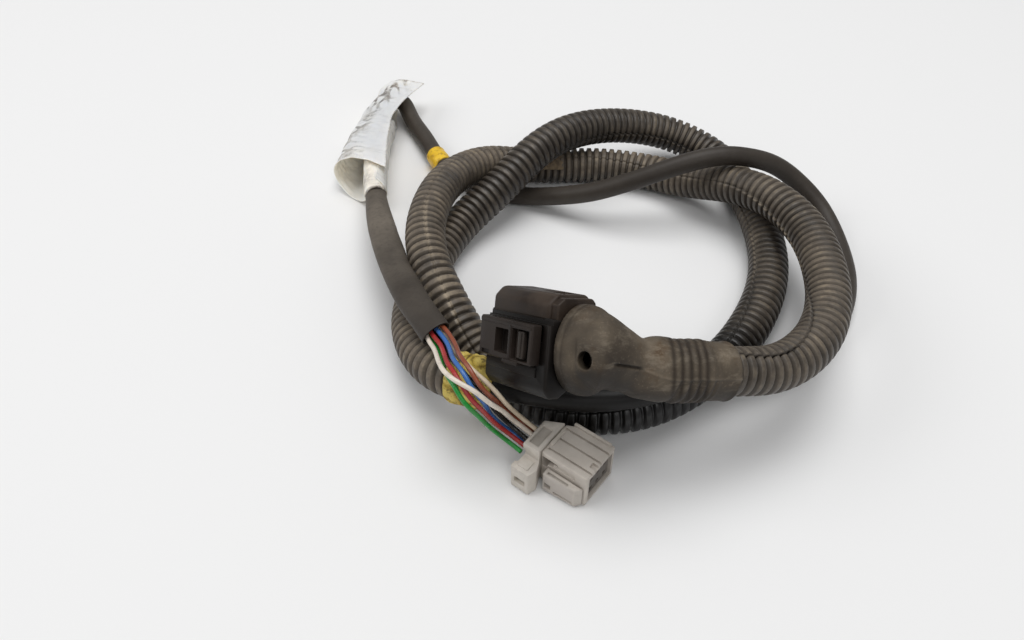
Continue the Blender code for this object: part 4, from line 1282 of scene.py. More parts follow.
class Moulding:
    """A shape put together from others by exact booleans."""

    def __init__(self, item: bpy.types.Object) -> None:
        """Starts from one object."""
        self.item = item
        self.tools = []

    def combine(self, operation: str, *tools: bpy.types.Object) -> "Moulding":
        """Adds booleans with other objects, which are used up.

        Args:
            operation: "DIFFERENCE" or "UNION".
            *tools: The other objects.

        Returns:
            The moulding itself.
        """
        for tool in tools:
            change = self.item.modifiers.new("shape", "BOOLEAN")
            change.operation = operation
            change.solver = "EXACT"
            change.object = tool
            self.tools.append(tool)
        return self

    def cut(self, *tools: bpy.types.Object) -> "Moulding":
        """Takes other objects away."""
        return self.combine("DIFFERENCE", *tools)

    def join(self, *tools: bpy.types.Object) -> "Moulding":
        """Unites with other objects."""
        return self.combine("UNION", *tools)

    def made(self, name: str, edge: float = 0.0, crease: float = 32) -> bpy.types.Object:
        """Applies everything.

        Args:
            name: Name of the result.
            edge: Radius of the last small bevel in millimetres, or 0 for none.
            crease: Angle in degrees above which an edge is shaded sharp.

        Returns:
            The new object.
        """
        if edge:
            bevelled(self.item, edge, 2, 40).modifiers[-1].use_clamp_overlap = True
        item = baked(self.item, name)
        for tool in self.tools:
            bpy.data.objects.remove(tool, do_unlink=True)
        item.data.shade_smooth()
        item.data.set_sharp_from_angle(angle=math.radians(crease))
        return item


def sheet_mesh(name: str, upper: np.ndarray, lower: np.ndarray,
               attributes: dict | None = None) -> bpy.types.Object:
    """Makes a thin closed sheet between two grids of table points.

    Args:
        name: Name of the object.
        upper: Grid of its upper side.
        lower: Grid of its lower side.
        attributes: Values on the upper and lower grids, by name.

    Returns:
        The new object.
    """
    grid = to_row(np.concatenate([upper, lower[:, ::-1]], axis=1))
    values = {}
    for key, (top, bottom) in (attributes or {}).items():
        values[key] = np.concatenate([np.broadcast_to(top, upper.shape[:2]),
                                      np.broadcast_to(bottom, lower.shape[:2])[:, ::-1]], axis=1)
    item = grid_mesh(name, grid, attributes=values)
    rows, columns = grid.shape[:2]
    work = bmesh.new()
    work.from_mesh(item.data)
    work.verts.ensure_lookup_table()
    for row in (0, rows - 1):
        for j in range(columns // 2 - 1):
            quad = (j, j + 1, columns - 2 - j, columns - 1 - j)
            work.faces.new([work.verts[row * columns + c] for c in quad])
    bmesh.ops.recalc_face_normals(work, faces=work.faces)
    work.to_mesh(item.data)
    work.free()
    return item


@dataclass
class ConduitRun:
    """The corrugated conduit with the cloth tape at its end and the strip over it."""

    route: Route
    radius: float = CONDUIT_RADIUS
    valley: float = CONDUIT_VALLEY
    pitch: float = CONDUIT_PITCH
    band_reach: float = 9.0
    band_end: float = 5.4
    band_sides: int = 96
    strip_half: float = 8.0
    strip_outer: float = 8.62
    strip_inner: float = 8.15
    strip_turn: tuple = (-28, 158)

    def build(self) -> list:
        """Builds the conduit, the tape band and the strip."""
        return [self.build_conduit(), self.build_tape_band(), self.build_strip()]

    def build_conduit(self) -> bpy.types.Object:
        """Sweeps the corrugated conduit with its slit and dust.

        Its radius is valley + (radius - valley) crest(s) + lips(a) depth(s) + noise(s, a).

        Returns:
            The conduit.
        """
        route = self.route
        cuts, share = np.array(CORRUGATION).T
        pitches = int(route.length / self.pitch)
        along = ((np.arange(pitches)[:, None] + cuts) * self.pitch).ravel()
        crest = np.tile(share, pitches)
        along = np.r_[0.0, along[along > 0.05], route.length]
        crest = np.r_[0.5, crest[-(len(along) - 2):], 0.5][:, None]
        travel = along[:, None]
        slit = running_mean(from_table(along, SLIT_TURN), 24)
        near, lips, worn = np.array(SLIT_LIPS).T
        plain = np.linspace(18, 342, 28)
        offset = np.r_[near, plain]
        angles = np.radians(slit[:, None] + offset)
        depth = from_table(along, SLIT_DEPTH)[:, None]
        radii = self.valley + (self.radius - self.valley) * crest + np.r_[lips, 0 * plain] * depth
        radii = radii + 0.09 * Noise(5)(travel, offset[None] * 0.3, 46.0)
        grid = to_row(ring_points(*route.at(along), radii, angles))
        patchy = Noise(11)
        dust = from_table(along, DUST_ALONG)[:, None]
        dust = np.clip(dust + 0.22 * patchy(travel, np.degrees(angles) * 0.4, 60.0), 0, 1)
        gap = np.where(np.abs(offset) < 2.2, 1.0 - np.clip(depth - 0.2, 0, 1), 1.0)
        spots = np.clip(0.6 + 0.7 * patchy(travel, 0.0, 21.0), 0, 1)
        stretch = from_table(along, SLIT_WEAR)[:, None]
        item = grid_mesh("conduit_tube", grid, True, {
            # The crest share drives the painted highlight on the crests and the painted shade in the
            # valleys.
            "dust": dust * gap, "crest": crest * gap,
            "worn": 0.75 * np.r_[worn, 0 * plain] * spots * stretch * crest,
            # grime: the stretch in the boot's shade, painted near black.
            "grime": from_table(along, PAINTED_SHADE_ALONG)[:, None]})
        return ride(item, "conduit", SplitConduitPolypropylene().make())

    def build_tape_band(self) -> bpy.types.Object:
        """Wraps the cloth tape round the conduit's end and down to the sleeve.

        Its radius is the outline's at that place, plus folds, less a narrow seam.

        Returns:
            The tape band.
        """
        route = self.route
        where = np.linspace(route.length - self.band_reach, route.length, 46)
        centres, side, up = route.at(where)
        steps = np.linspace(0.2, self.band_end, 27)
        path = np.vstack([centres, route.points[-1] + route.ahead[-1] * steps[:, None]])
        side = np.vstack([side, np.repeat(side[-1:], len(steps), 0)])
        up = np.vstack([up, np.repeat(up[-1:], len(steps), 0)])
        travel = np.r_[where - route.length, steps]
        outer = from_table(travel, BAND_OUTLINE)[:, None]
        travel = travel[:, None]
        angles = circle(self.band_sides)
        around = angles[None] * 8.6
        big = Noise(21)(travel * 1.6 + around * 0.35, around, 13.0)
        small = Noise(22)(travel, around * 1.2, 3.4)
        seam = np.exp(-((travel + 3.6 + 0.8 * np.sin(angles)[None]) / 0.28) ** 2)
        radii = outer + (0.36 * np.abs(big) + 0.3 * np.abs(small)) - 0.22 * seam
        grid = closed_rings(path, side, up, radii, angles, (self.radius, SLEEVE_RADIUS - 0.3))
        # Fold height, which the tape's painted highlight and painted shade follow.
        shade = np.pad(np.clip(2.6 * np.abs(big) - seam, 0, 1), ((1, 1), (0, 0)))
        item = grid_mesh("cloth_tape", grid, attributes={"fold": shade})
        return ride(item, "cloth_tape_band", ClothTape().make())

    def build_strip(self) -> bpy.types.Object:
        """Lays the dirty strip over the conduit, dipping with the corrugation below it.

        Returns:
            The strip.
        """
        route = self.route
        middle = route.near((-31.0, 74.0, 9.0))
        where = np.linspace(middle - self.strip_half, middle + self.strip_half, 49)
        centres, side, up = route.at(where)
        angles = np.radians(np.linspace(*self.strip_turn, 81))
        wrinkle = Noise(41)
        travel = (where - middle)[:, None]
        edge = 1.2 * wrinkle(angles[None] * 20, 0.0, 6.0)
        wave = 0.16 * wrinkle(travel * 1.5, angles[None] * 12, 7.0)
        wave = wave + 0.14 * np.cos(2 * np.pi * where / self.pitch)[:, None]
        frayed = (edge * np.sign(travel) * (np.abs(travel) / self.strip_half) ** 4)[..., None]
        frayed = frayed * route.ahead[np.searchsorted(route.along, middle)]
        upper = ring_points(centres, side, up, self.strip_outer + wave, angles) + frayed
        lower = ring_points(centres, side, up, self.strip_inner + wave, angles) + frayed
        return ride(sheet_mesh("fabric_strip", upper, lower), "saddle_strip", FabricStrip().make())


@dataclass
class SleeveRun:
    """The thin sleeve, flattened towards its mouth, and its yellow marker."""

    route: Route
    radius: float = SLEEVE_RADIUS
    mouth_spread: float = 1.75
    mouth_squash: float = 1.45
    mouth_roll: float = -23.6
    sides: int = 32
    marker_radius: float = 4.62
    marker_edge: float = 4.45
    marker_reach: tuple = (-9.6, 0.6)

    def build(self) -> list:
        """Builds the sleeve and its marker."""
        return [self.build_sleeve(), self.build_marker()]

    def oval_rings(self, where: np.ndarray, sizes: tuple, roll: np.ndarray,
                   extra: np.ndarray) -> np.ndarray:
        """Places ovals across the sleeve's line.

        Args:
            where: Distances along the line.
            sizes: Half widths and half heights of the ovals.
            roll: How far each oval is turned about the line, in radians.
            extra: What is added to both halves, per point or per oval.

        Returns:
            Points of shape (n, sides, 3).
        """
        centres, side, up = self.route.at(where)
        angles = circle(self.sides)
        major = np.cos(roll)[:, None] * side + np.sin(roll)[:, None] * up
        minor = -np.sin(roll)[:, None] * side + np.cos(roll)[:, None] * up
        x = (sizes[0][:, None] + extra) * np.cos(angles)
        y = (sizes[1][:, None] + extra) * np.sin(angles)
        return centres[:, None] + x[..., None] * major[:, None] + y[..., None] * minor[:, None]

    def build_sleeve(self) -> bpy.types.Object:
        """Sweeps the thin sleeve: round at first, flattened on its last stretch, open at its end.

        Returns:
            The sleeve.
        """
        end = self.route.length
        along = np.r_[np.arange(0, end - 4, 0.9), np.linspace(end - 3.6, end, 8)]
        out = self.route.near(LABEL_MOUTH)
        flat = np.interp(along, (out - 6, out + 32, end - 40, end), (0, 1, 1, 0.8))
        roll = np.radians(np.interp(along, (end - 45, end), (0, self.mouth_roll)))
        wide = self.radius + self.mouth_spread * flat
        tall = self.radius - self.mouth_squash * flat
        pinch = 0.16 * Noise(3)(along[:, None], circle(self.sides)[None] * 4, 24.0)
        outer = self.oval_rings(along, (wide, tall), roll, pinch)
        back, wall = np.array(MOUTH_WALL).T
        mouth = end + back
        sizes = (np.interp(mouth, along, wide) + wall, np.interp(mouth, along, tall) + wall)
        inner = self.oval_rings(mouth, sizes, np.interp(mouth, along, roll), np.zeros((len(back), 1)))
        grid = to_row(np.concatenate([outer, inner]))
        none = np.zeros(len(back))
        # The inner wall at the mouth gets painted shade.
        inside = np.r_[np.zeros(len(along)), 0.2, 0.7, 1.0, 1.0, 1.0]
        dust = np.interp(along, (0, 150, 300, out - 60, out, out + 20, out + 60, end - 25, end),
                         (0.1, 0.25, 0.12, 0.35, 0.75, 0.95, 0.6, 0.3, 0.15))
        # Painted shade: its first stretch, under the connector and the boot, is painted near black.
        grime = np.interp(along, (0, 90, 130), (1, 1, 0))
        item = grid_mesh("sleeve_tube", grid, True, {
            "inside": inside[:, None], "dust": np.r_[dust, none][:, None],
            "grime": np.r_[grime, none][:, None]})
        return ride(item, "thin_sleeve", SleeveVinyl().make())

    def build_marker(self) -> bpy.types.Object:
        """Wraps the yellow marker round the sleeve, with small folds and a spiral overlap.

        Returns:
            The marker.
        """
        middle = self.route.near((-81.2, 86.9, 5.1))
        where = np.linspace(middle + self.marker_reach[0], middle + self.marker_reach[1], 45)
        angles = circle(64)
        travel = (where - middle)[:, None]
        bulge = 0.3 * np.abs(Noise(31)(travel * 1.2 + angles[None] * 2.0, angles[None] * 4.5, 7.0))
        spiral = 0.10 * (np.sin(angles[None] + travel * 1.1) > 0.55)
        radii = self.marker_radius + bulge + spiral
        radii[[0, -1]] = self.marker_edge
        inner = self.radius - 0.1
        grid = closed_rings(*self.route.at(where), radii, angles, (inner, inner))
        return ride(grid_mesh("marker_wrap", grid), "marker_tape", MarkerVinyl().make())


@dataclass
class LooseWires:
    """The seven insulated wires between the sleeve and the grey connector."""

    sleeve_route: Route
    radius: float = WIRE_RADIUS
    step: float = 0.4
    sides: int = 16
    routes: dict = field(default_factory=dict)

    def build(self) -> list:
        """Sweeps the wires from inside the sleeve's mouth to the grey connector.

        Returns:
            The wires.
        """
        sleeve = self.sleeve_route
        inside = sleeve.at(np.array([sleeve.length - 7.0]))[0][0]
        built = []
        for colour, points in WIRE_ROUTES.items():
            first = inside + 0.55 * (np.array(points[0]) - sleeve.points[-1] - sleeve.ahead[-1])
            route = Route([tuple(first)] + list(points), self.step)
            route.steady()
            grid = to_row(ring_points(*route.at(route.along), self.radius, circle(self.sides)))
            item = grid_mesh("insulated_" + colour, grid, True)
            dirt = Tint.WIRE_DUST if colour == "black" else Tint.WIRE_DIRT
            ride(item, "wire_" + colour, WireInsulation(Tint["WIRE_" + colour.upper()], dirt).make())
            self.routes[item.name] = route
            built.append(item)
        return built


@dataclass
class FlagLabel:
    """The bare flag label and its tight wrap round the sleeve."""

    sleeve_route: Route
    wrap_radius: float = 4.62
    film_half: float = 0.16
    columns: int = 190
    rows: int = 160
    flat_size: tuple = field(init=False)

    def build(self) -> list:
        """Builds the roll and its tight wrap."""
        return [self.build_label(), self.build_label_wrap()]

    def middle_surface(self) -> np.ndarray:
        """Blends the label's sections into one surface.

        Returns:
            Table points of shape (rows, columns, 3).
        """
        known = []
        for (y, skew, points), share in zip(LABEL_SECTIONS, TRIM_SHARES):
            line = Route([(x, trim * share, z) for (x, z), trim in zip(points, LABEL_TRIM)], 0.2)
            section = line.at(np.linspace(0, line.length, self.columns))[0]
            back = y + section[:, 1] + skew * (section[:, 0] + 100.0)
            known.append(np.stack([section[:, 0], back, section[:, 2]], 1))
        heights = np.array([section[0] for section in LABEL_SECTIONS])
        return self.blend_sections(np.array(known), heights, self.rows)

    def build_label(self) -> bpy.types.Object:
        """Rolls the bare flag label with its creases and dirt.

        With u across and v down the sheet, its surface is the middle surface plus
        normal * (lift(u, v) +- half a film).

        Returns:
            The label.
        """
        rows = self.middle_surface()
        along = np.gradient(rows, axis=0)
        around = np.gradient(rows, axis=1)
        normal = np.cross(along, around)
        normal /= np.linalg.norm(normal, axis=2)[..., None]
        v = np.linspace(0, 1, self.rows)[:, None]
        u = np.linspace(0, 1, self.columns)[None]
        across, down = u * 58.0, v * 100.0
        # The creases: broad folds and sharp ones, flat at the edges and where the roll is tight.
        held = np.clip(np.minimum(u, 1 - u) * 14, 0, 1) * np.interp(u, (0.45, 0.6, 0.75), (1.0, 0.35, 0.12))
        lift = 0.9 * Noise(51)(across, down, 48.0)
        for seed, size, depth in ((52, 30.0, 0.9), (57, 17.0, 0.6), (58, 9.0, 0.35)):
            lift = lift + depth * (0.4 - np.abs(Noise(seed)(across, down, size)))
        lift = lift * held
        # The dirt: slanting streaks on the roll's left side, worn folds and a dark free edge.
        slope = math.radians(52)
        far = across * math.cos(slope) + down * math.sin(slope)
        near = down * math.cos(slope) - across * math.sin(slope)
        streak = np.clip(2.25 - 4.0 * np.abs(Noise(53)(far * 0.34, near, 6.0)), 0, 1)
        smear = np.clip(0.95 + 1.2 * Noise(54)(across, down, 26.0), 0, 1)
        place = np.interp(u, (0.0, 0.13, 0.2, 0.32, 0.46, 0.55), (0.05, 0.1, 0.8, 1.0, 1.0, 0.3))
        place = place * np.interp(v, (0.0, 0.1, 0.3, 0.85, 1.0), (0.35, 0.7, 1.0, 1.0, 0.8))
        fold = np.clip(1.15 - 9.0 * np.abs(Noise(57)(across, down * 2.4, 30.0)), 0, 1) * 0.45
        edge = np.clip(1.0 - u / 0.012, 0, 1) + np.clip((v - 0.985) / 0.015, 0, 1)
        dirt = np.clip(streak * smear * place + fold * (0.3 + 0.7 * place) * smear + 0.7 * edge, 0, 1)
        beige = np.interp(u, (0.5, 0.6), (0.0, 0.8)) * np.ones_like(v)
        upper = rows + normal * (self.film_half + lift)[..., None]
        lower = rows + normal * (lift - self.film_half)[..., None]
        item = sheet_mesh("label_roll", upper, lower, {
            "inner": (beige, np.ones_like(dirt)), "dirt": (dirt, dirt * 0.35)})
        ride(item, "flag_label", LabelFilm().make())
        width = float(np.median(np.linalg.norm(np.diff(rows, axis=1), axis=2).sum(1))) * MM
        length = float(np.median(np.linalg.norm(np.diff(rows, axis=0), axis=2).sum(0))) * MM
        self.flat_size = (width, length)
        return item

    def build_label_wrap(self) -> bpy.types.Object:
        """Winds the label's inner end tightly round the sleeve.

        Returns:
            The wrap.
        """
        route = self.sleeve_route
        out = route.near(LABEL_MOUTH)
        where = np.linspace(out - 30.0, out + 3.2, 84)
        centres, side, up = route.at(where)
        angles = circle(72)
        wrinkle = Noise(61)
        travel = where[:, None]
        creases = np.abs(wrinkle(travel * 0.6 + angles[None] * 2, angles[None] * 4.6, 8.0))
        radii = self.wrap_radius + 0.22 * creases + 0.14 * (np.cos(angles[None] - 0.9) > 0.35)
        slant = 1.6 * wrinkle(angles[None] * 4.6, 3.0, 15.0) * np.linspace(0, 1, len(where))[:, None] ** 3
        ahead = route.ahead[np.searchsorted(route.along, where[-1])]
        grid = ring_points(centres, side, up, radii, angles) + slant[..., None] * ahead
        last = ring_points(centres[-1:], side[-1:], up[-1:], 4.2, angles) + slant[-1:, :, None] * ahead
        grid = to_row(np.concatenate([grid, last]))
        cloud = Noise(62)(travel, angles[None] * 4.6, 12.0)
        edge = np.clip((where - where[-1] + 1.4) / 1.4, 0, 1)[:, None]
        dirt = np.clip(0.25 + 0.5 * cloud + 0.7 * edge, 0, 1)
        item = grid_mesh("label_wrap", grid, attributes={
            "dirt": np.vstack([dirt, dirt[-1:]]), "inner": np.full((len(where) + 1, 1), 0.5)})
        return ride(item, "flag_label", bpy.data.materials["label_film"])

    def blend_sections(self, known: np.ndarray, heights: np.ndarray, count: int) -> np.ndarray:
        """Spreads label sections smoothly over more rows with a natural cubic through them.

        Args:
            known: Sections of shape (n, m, 3).
            heights: Where the sections stand, shape (n,).
            count: Number of rows wanted.

        Returns:
            Rows of shape (count, m, 3).
        """
        gaps = np.diff(heights)
        flat = known.reshape(len(heights), -1)
        bend = spline_bends(flat, gaps)
        wanted = np.linspace(heights[0], heights[-1], count)
        spot = np.clip(np.searchsorted(heights, wanted) - 1, 0, len(heights) - 2)
        step = gaps[spot][:, None]
        after = (wanted - heights[spot])[:, None]
        before = step - after
        rows = (bend[spot] * before ** 3 + bend[spot + 1] * after ** 3) / (6 * step)
        rows += (flat[spot] / step - bend[spot] * step / 6) * before
        rows += (flat[spot + 1] / step - bend[spot + 1] * step / 6) * after
        return rows.reshape(count, *known.shape[1:])


@dataclass
class ElbowBoot:
    """The rubber elbow boot and the hidden bundle inside it."""

    black: LocalFrame
    groove_depth: float = 1.0
    hole_radius: float = 2.75
    voxel: float = 0.36

    def build(self) -> list:
        """Builds the boot and dresses the bundle inside it."""
        return [self.build_boot(), self.dress_bundle()]

    def neck_line(self, start: tuple, ahead: tuple, step: float) -> Route:
        """Runs a line round the elbow and on into the conduit.

        Args:
            start: Points of the elbow.
            ahead: Places on the straight stretch, along the table's X.
            step: Distance between the line's points.

        Returns:
            The line.
        """
        first, turn = np.array(NECK_START), np.array(NECK_DIRECTION)
        return Route(list(start) + [tuple(first + turn * (x - first[0]) / turn[0]) for x in ahead], step)

    def build_neck(self, route: Route, angles: np.ndarray) -> bpy.types.Object:
        """Sweeps the neck with its grooves, which are deeper below the parting line.

        Args:
            route: The neck's line.
            angles: Angles around it.

        Returns:
            The neck as a closed tube.
        """
        x = route.points[:, 0]
        grooves = np.exp(-((x[:, None] - np.array(BOOT_GROOVES)) / 0.62) ** 4).sum(1)
        below = np.clip((31 - ((np.degrees(angles) + 180) % 360 - 180)) / 12, 0, 1)
        depths = self.groove_depth * grooves[:, None] * (0.45 + 0.55 * below)
        radii = from_table(x, BOOT_NECK)[:, None] - depths
        fill = np.clip(np.cos(angles + math.radians(75)), 0, 1) ** 1.5
        radii = radii + from_table(x, BOOT_FILL)[:, None] * fill
        rings = ring_points(route.points, route.side, route.up, radii, angles)
        return grid_mesh("neck", to_row(rings), True)

    def build_boot(self) -> bpy.types.Object:
        """Makes the rubber elbow boot from a head, a bent neck and its bores, blended together.

        Returns:
            The boot.
        """
        angles = circle(64)
        neck_route = self.neck_line(BOOT_BEND, (2.0, 8.0, 14.0, 21.0), 0.25)
        neck = self.build_neck(neck_route, angles)
        oval = {"centre": (BOOT_HEAD_SHIFT, 0.0), "narrowing": BOOT_HEAD_NARROWING}
        cavity = turned(self.black, BOOT_CAVITY, **oval)
        trim = turned(self.black, BOOT_TRIM)
        line = self.neck_line(BOOT_BEND[1:], (2.0, 8.0, 14.0, 20.0, 27.0), 0.5)
        radii = from_table(line.points[:, 0], BOOT_BORE)[:, None]
        bore = grid_mesh("bore", to_row(ring_points(line.points, line.side, line.up, radii, angles)), True)
        turn = self.black.turn
        spot = np.array(self.black.corner) + np.array((-3.75, -1.4, 2.3)) @ turn
        inward = LocalFrame(tuple(spot), tuple(np.array((0.43, 0.0, 0.9)) @ turn),
                            tuple(np.array((-0.9, 0.0, 0.43)) @ turn))
        hole = turned(inward, ((0, -6.0), (self.hole_radius, -6.0), (self.hole_radius, 8.0), (0, 8.0)),
                      40, narrowing=0.8)
        solid = remeshed(joined(turned(self.black, BOOT_HEAD, **oval), neck), 0.4)
        shape = Moulding(solid).cut(cavity, trim, remeshed(bore, 0.5), hole)
        item = remeshed(shape.made("boot_shape"), self.voxel)
        item.name = "boot"
        self.smooth_boot(item, neck_route)
        return ride(item, "rubber_boot", BootRubber().make())

    def smooth_boot(self, item: bpy.types.Object, neck_route: Route) -> None:
        """Blends the elbow and keeps the rings crisp.

        Args:
            item: The boot.
            neck_route: The neck's line.
        """
        mesh = item.data
        flat = np.empty(len(mesh.vertices) * 3, np.float32)
        mesh.vertices.foreach_get("co", flat)
        table_points = flat.reshape(-1, 3) / MM + ORIGIN
        local = self.black.local(flat.reshape(-1, 3))
        x = table_points[:, 0]
        radius = np.hypot(local[:, 0], local[:, 1])
        elbow = np.clip((3.0 - x) / 4.0, 0, 1) * np.clip((local[:, 2] + 5.2) / 1.5, 0, 1)
        elbow = elbow * np.clip((radius - 4.6) / 1.2, 0, 1)
        weight = np.clip(elbow, 0.12, 1.0)
        group = item.vertex_groups.new(name="soft")
        for level in np.unique(np.round(weight * 8) / 8):
            chosen = np.nonzero(np.round(weight * 8) / 8 == level)[0]
            group.add(chosen.tolist(), float(level), "REPLACE")
        change = item.modifiers.new("soft", "SMOOTH")
        change.vertex_group = "soft"
        change.factor = 0.5
        change.iterations = 22
        view = bpy.context.evaluated_depsgraph_get()
        shaped = bpy.data.meshes.new_from_object(item.evaluated_get(view))
        item.modifiers.clear()
        item.vertex_groups.clear()
        item.data = shaped
        self.crease_boot(shaped, neck_route)

    def crease_boot(self, mesh: bpy.types.Mesh, neck_route: Route) -> None:
        """Raises the parting line, cuts the small slit, and writes the darker grooves, the painted shade and
        the paler edges.

        Args:
            mesh: The boot's mesh.
            neck_route: The neck's line.
        """
        count = len(mesh.vertices)
        flat = np.empty(count * 3, np.float32)
        mesh.vertices.foreach_get("co", flat)
        normals = np.empty(count * 3, np.float32)
        mesh.vertices.foreach_get("normal", normals)
        points = flat.reshape(-1, 3) / MM + ORIGIN
        local = self.black.local(flat.reshape(-1, 3))
        line = neck_route.points[::3]
        nearest = np.concatenate([np.argmin(((part[:, None] - line[None]) ** 2).sum(2), 1)
                                  for part in np.array_split(points, 40)])
        across = points - line[nearest]
        side, up = neck_route.side[::3][nearest], neck_route.up[::3][nearest]
        angle = np.degrees(np.arctan2((across * up).sum(1), (across * side).sum(1)))
        reach = np.linalg.norm(across, axis=1)
        off_line = np.radians((angle - 31 + 180) % 360 - 180) * reach
        x = points[:, 0]
        neck = np.clip((x + 10.0) / 3.0, 0, 1) * (reach > 6.9)
        head = np.clip((-16.0 - x) / 3.0, 0, 1) * (local[:, 2] > -8.6)
        parting = neck * np.exp(-(off_line / 0.4) ** 2)
        off_hole = np.hypot(local[:, 0] + 3.4, local[:, 1] + 0.8) > 4.6
        parting += head * np.exp(-((local[:, 1] + 0.6) / 0.4) ** 2) * off_hole
        slit = np.exp(-(off_line / 0.42) ** 4) * np.clip((x + 16.4) / 1.5, 0, 1)
        slit = slit * np.clip((-6.6 - x) / 1.5, 0, 1)
        move = 0.2 * parting - 0.7 * slit
        shifted = flat.reshape(-1, 3) + normals.reshape(-1, 3) * (move * MM)[:, None]
        mesh.vertices.foreach_set("co", shifted.astype(np.float32).ravel())
        groove = np.exp(-((x[:, None] - np.array(BOOT_GROOVES)) / 0.8) ** 2).sum(1)
        groove = np.maximum(groove, 0.5 * np.exp(-((local[:, 2] + 5.3) / 0.35) ** 2))
        groove = np.maximum(groove, slit)
        patch = Noise(71)(points[:, 0], points[:, 1] + points[:, 2], 9.0)
        # Painted shade: darker along the head and on the underside, varied in random patches.
        low = np.clip((-local[:, 1] - 3.0) / 9.0, 0, 1)
        dark = np.interp(x, (-26, -17, -12, -6, 13, 15, 20), (0.45, 0.4, 0.3, 0.05, 0.1, 0.3, 0.3))
        dark = np.clip(dark + 0.55 * low * np.interp(x, (-14, -5), (1, 0)) + 0.25 * patch, 0, 1)
        dusty = np.interp(x, (-14, -10, -4, 4, 13), (0, 0.4, 0.45, 0.3, 0.1))
        dusty = dusty * np.clip(0.5 + 1.5 * patch, 0, 1)
        rim = np.exp(-((local[:, 2] + 6.6) / 0.7) ** 2)
        pale = np.clip(0.7 * rim + 0.6 * parting + dusty, 0, 1)
        write_attributes(mesh, {"groove": groove, "grime": dark, "pale": pale})
        mesh.update()

    def dress_bundle(self) -> bpy.types.Object:
        """Gives the hidden wire bundle in the boot its finish.

        Returns:
            The bundle's own CAD node.
        """
        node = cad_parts["boot_wire_bundle"]
        node.data.materials.clear()
        node.data.materials.append(HiddenPlastic("bundle_tape", Tint.BUNDLE, 0.6).make())
        return node


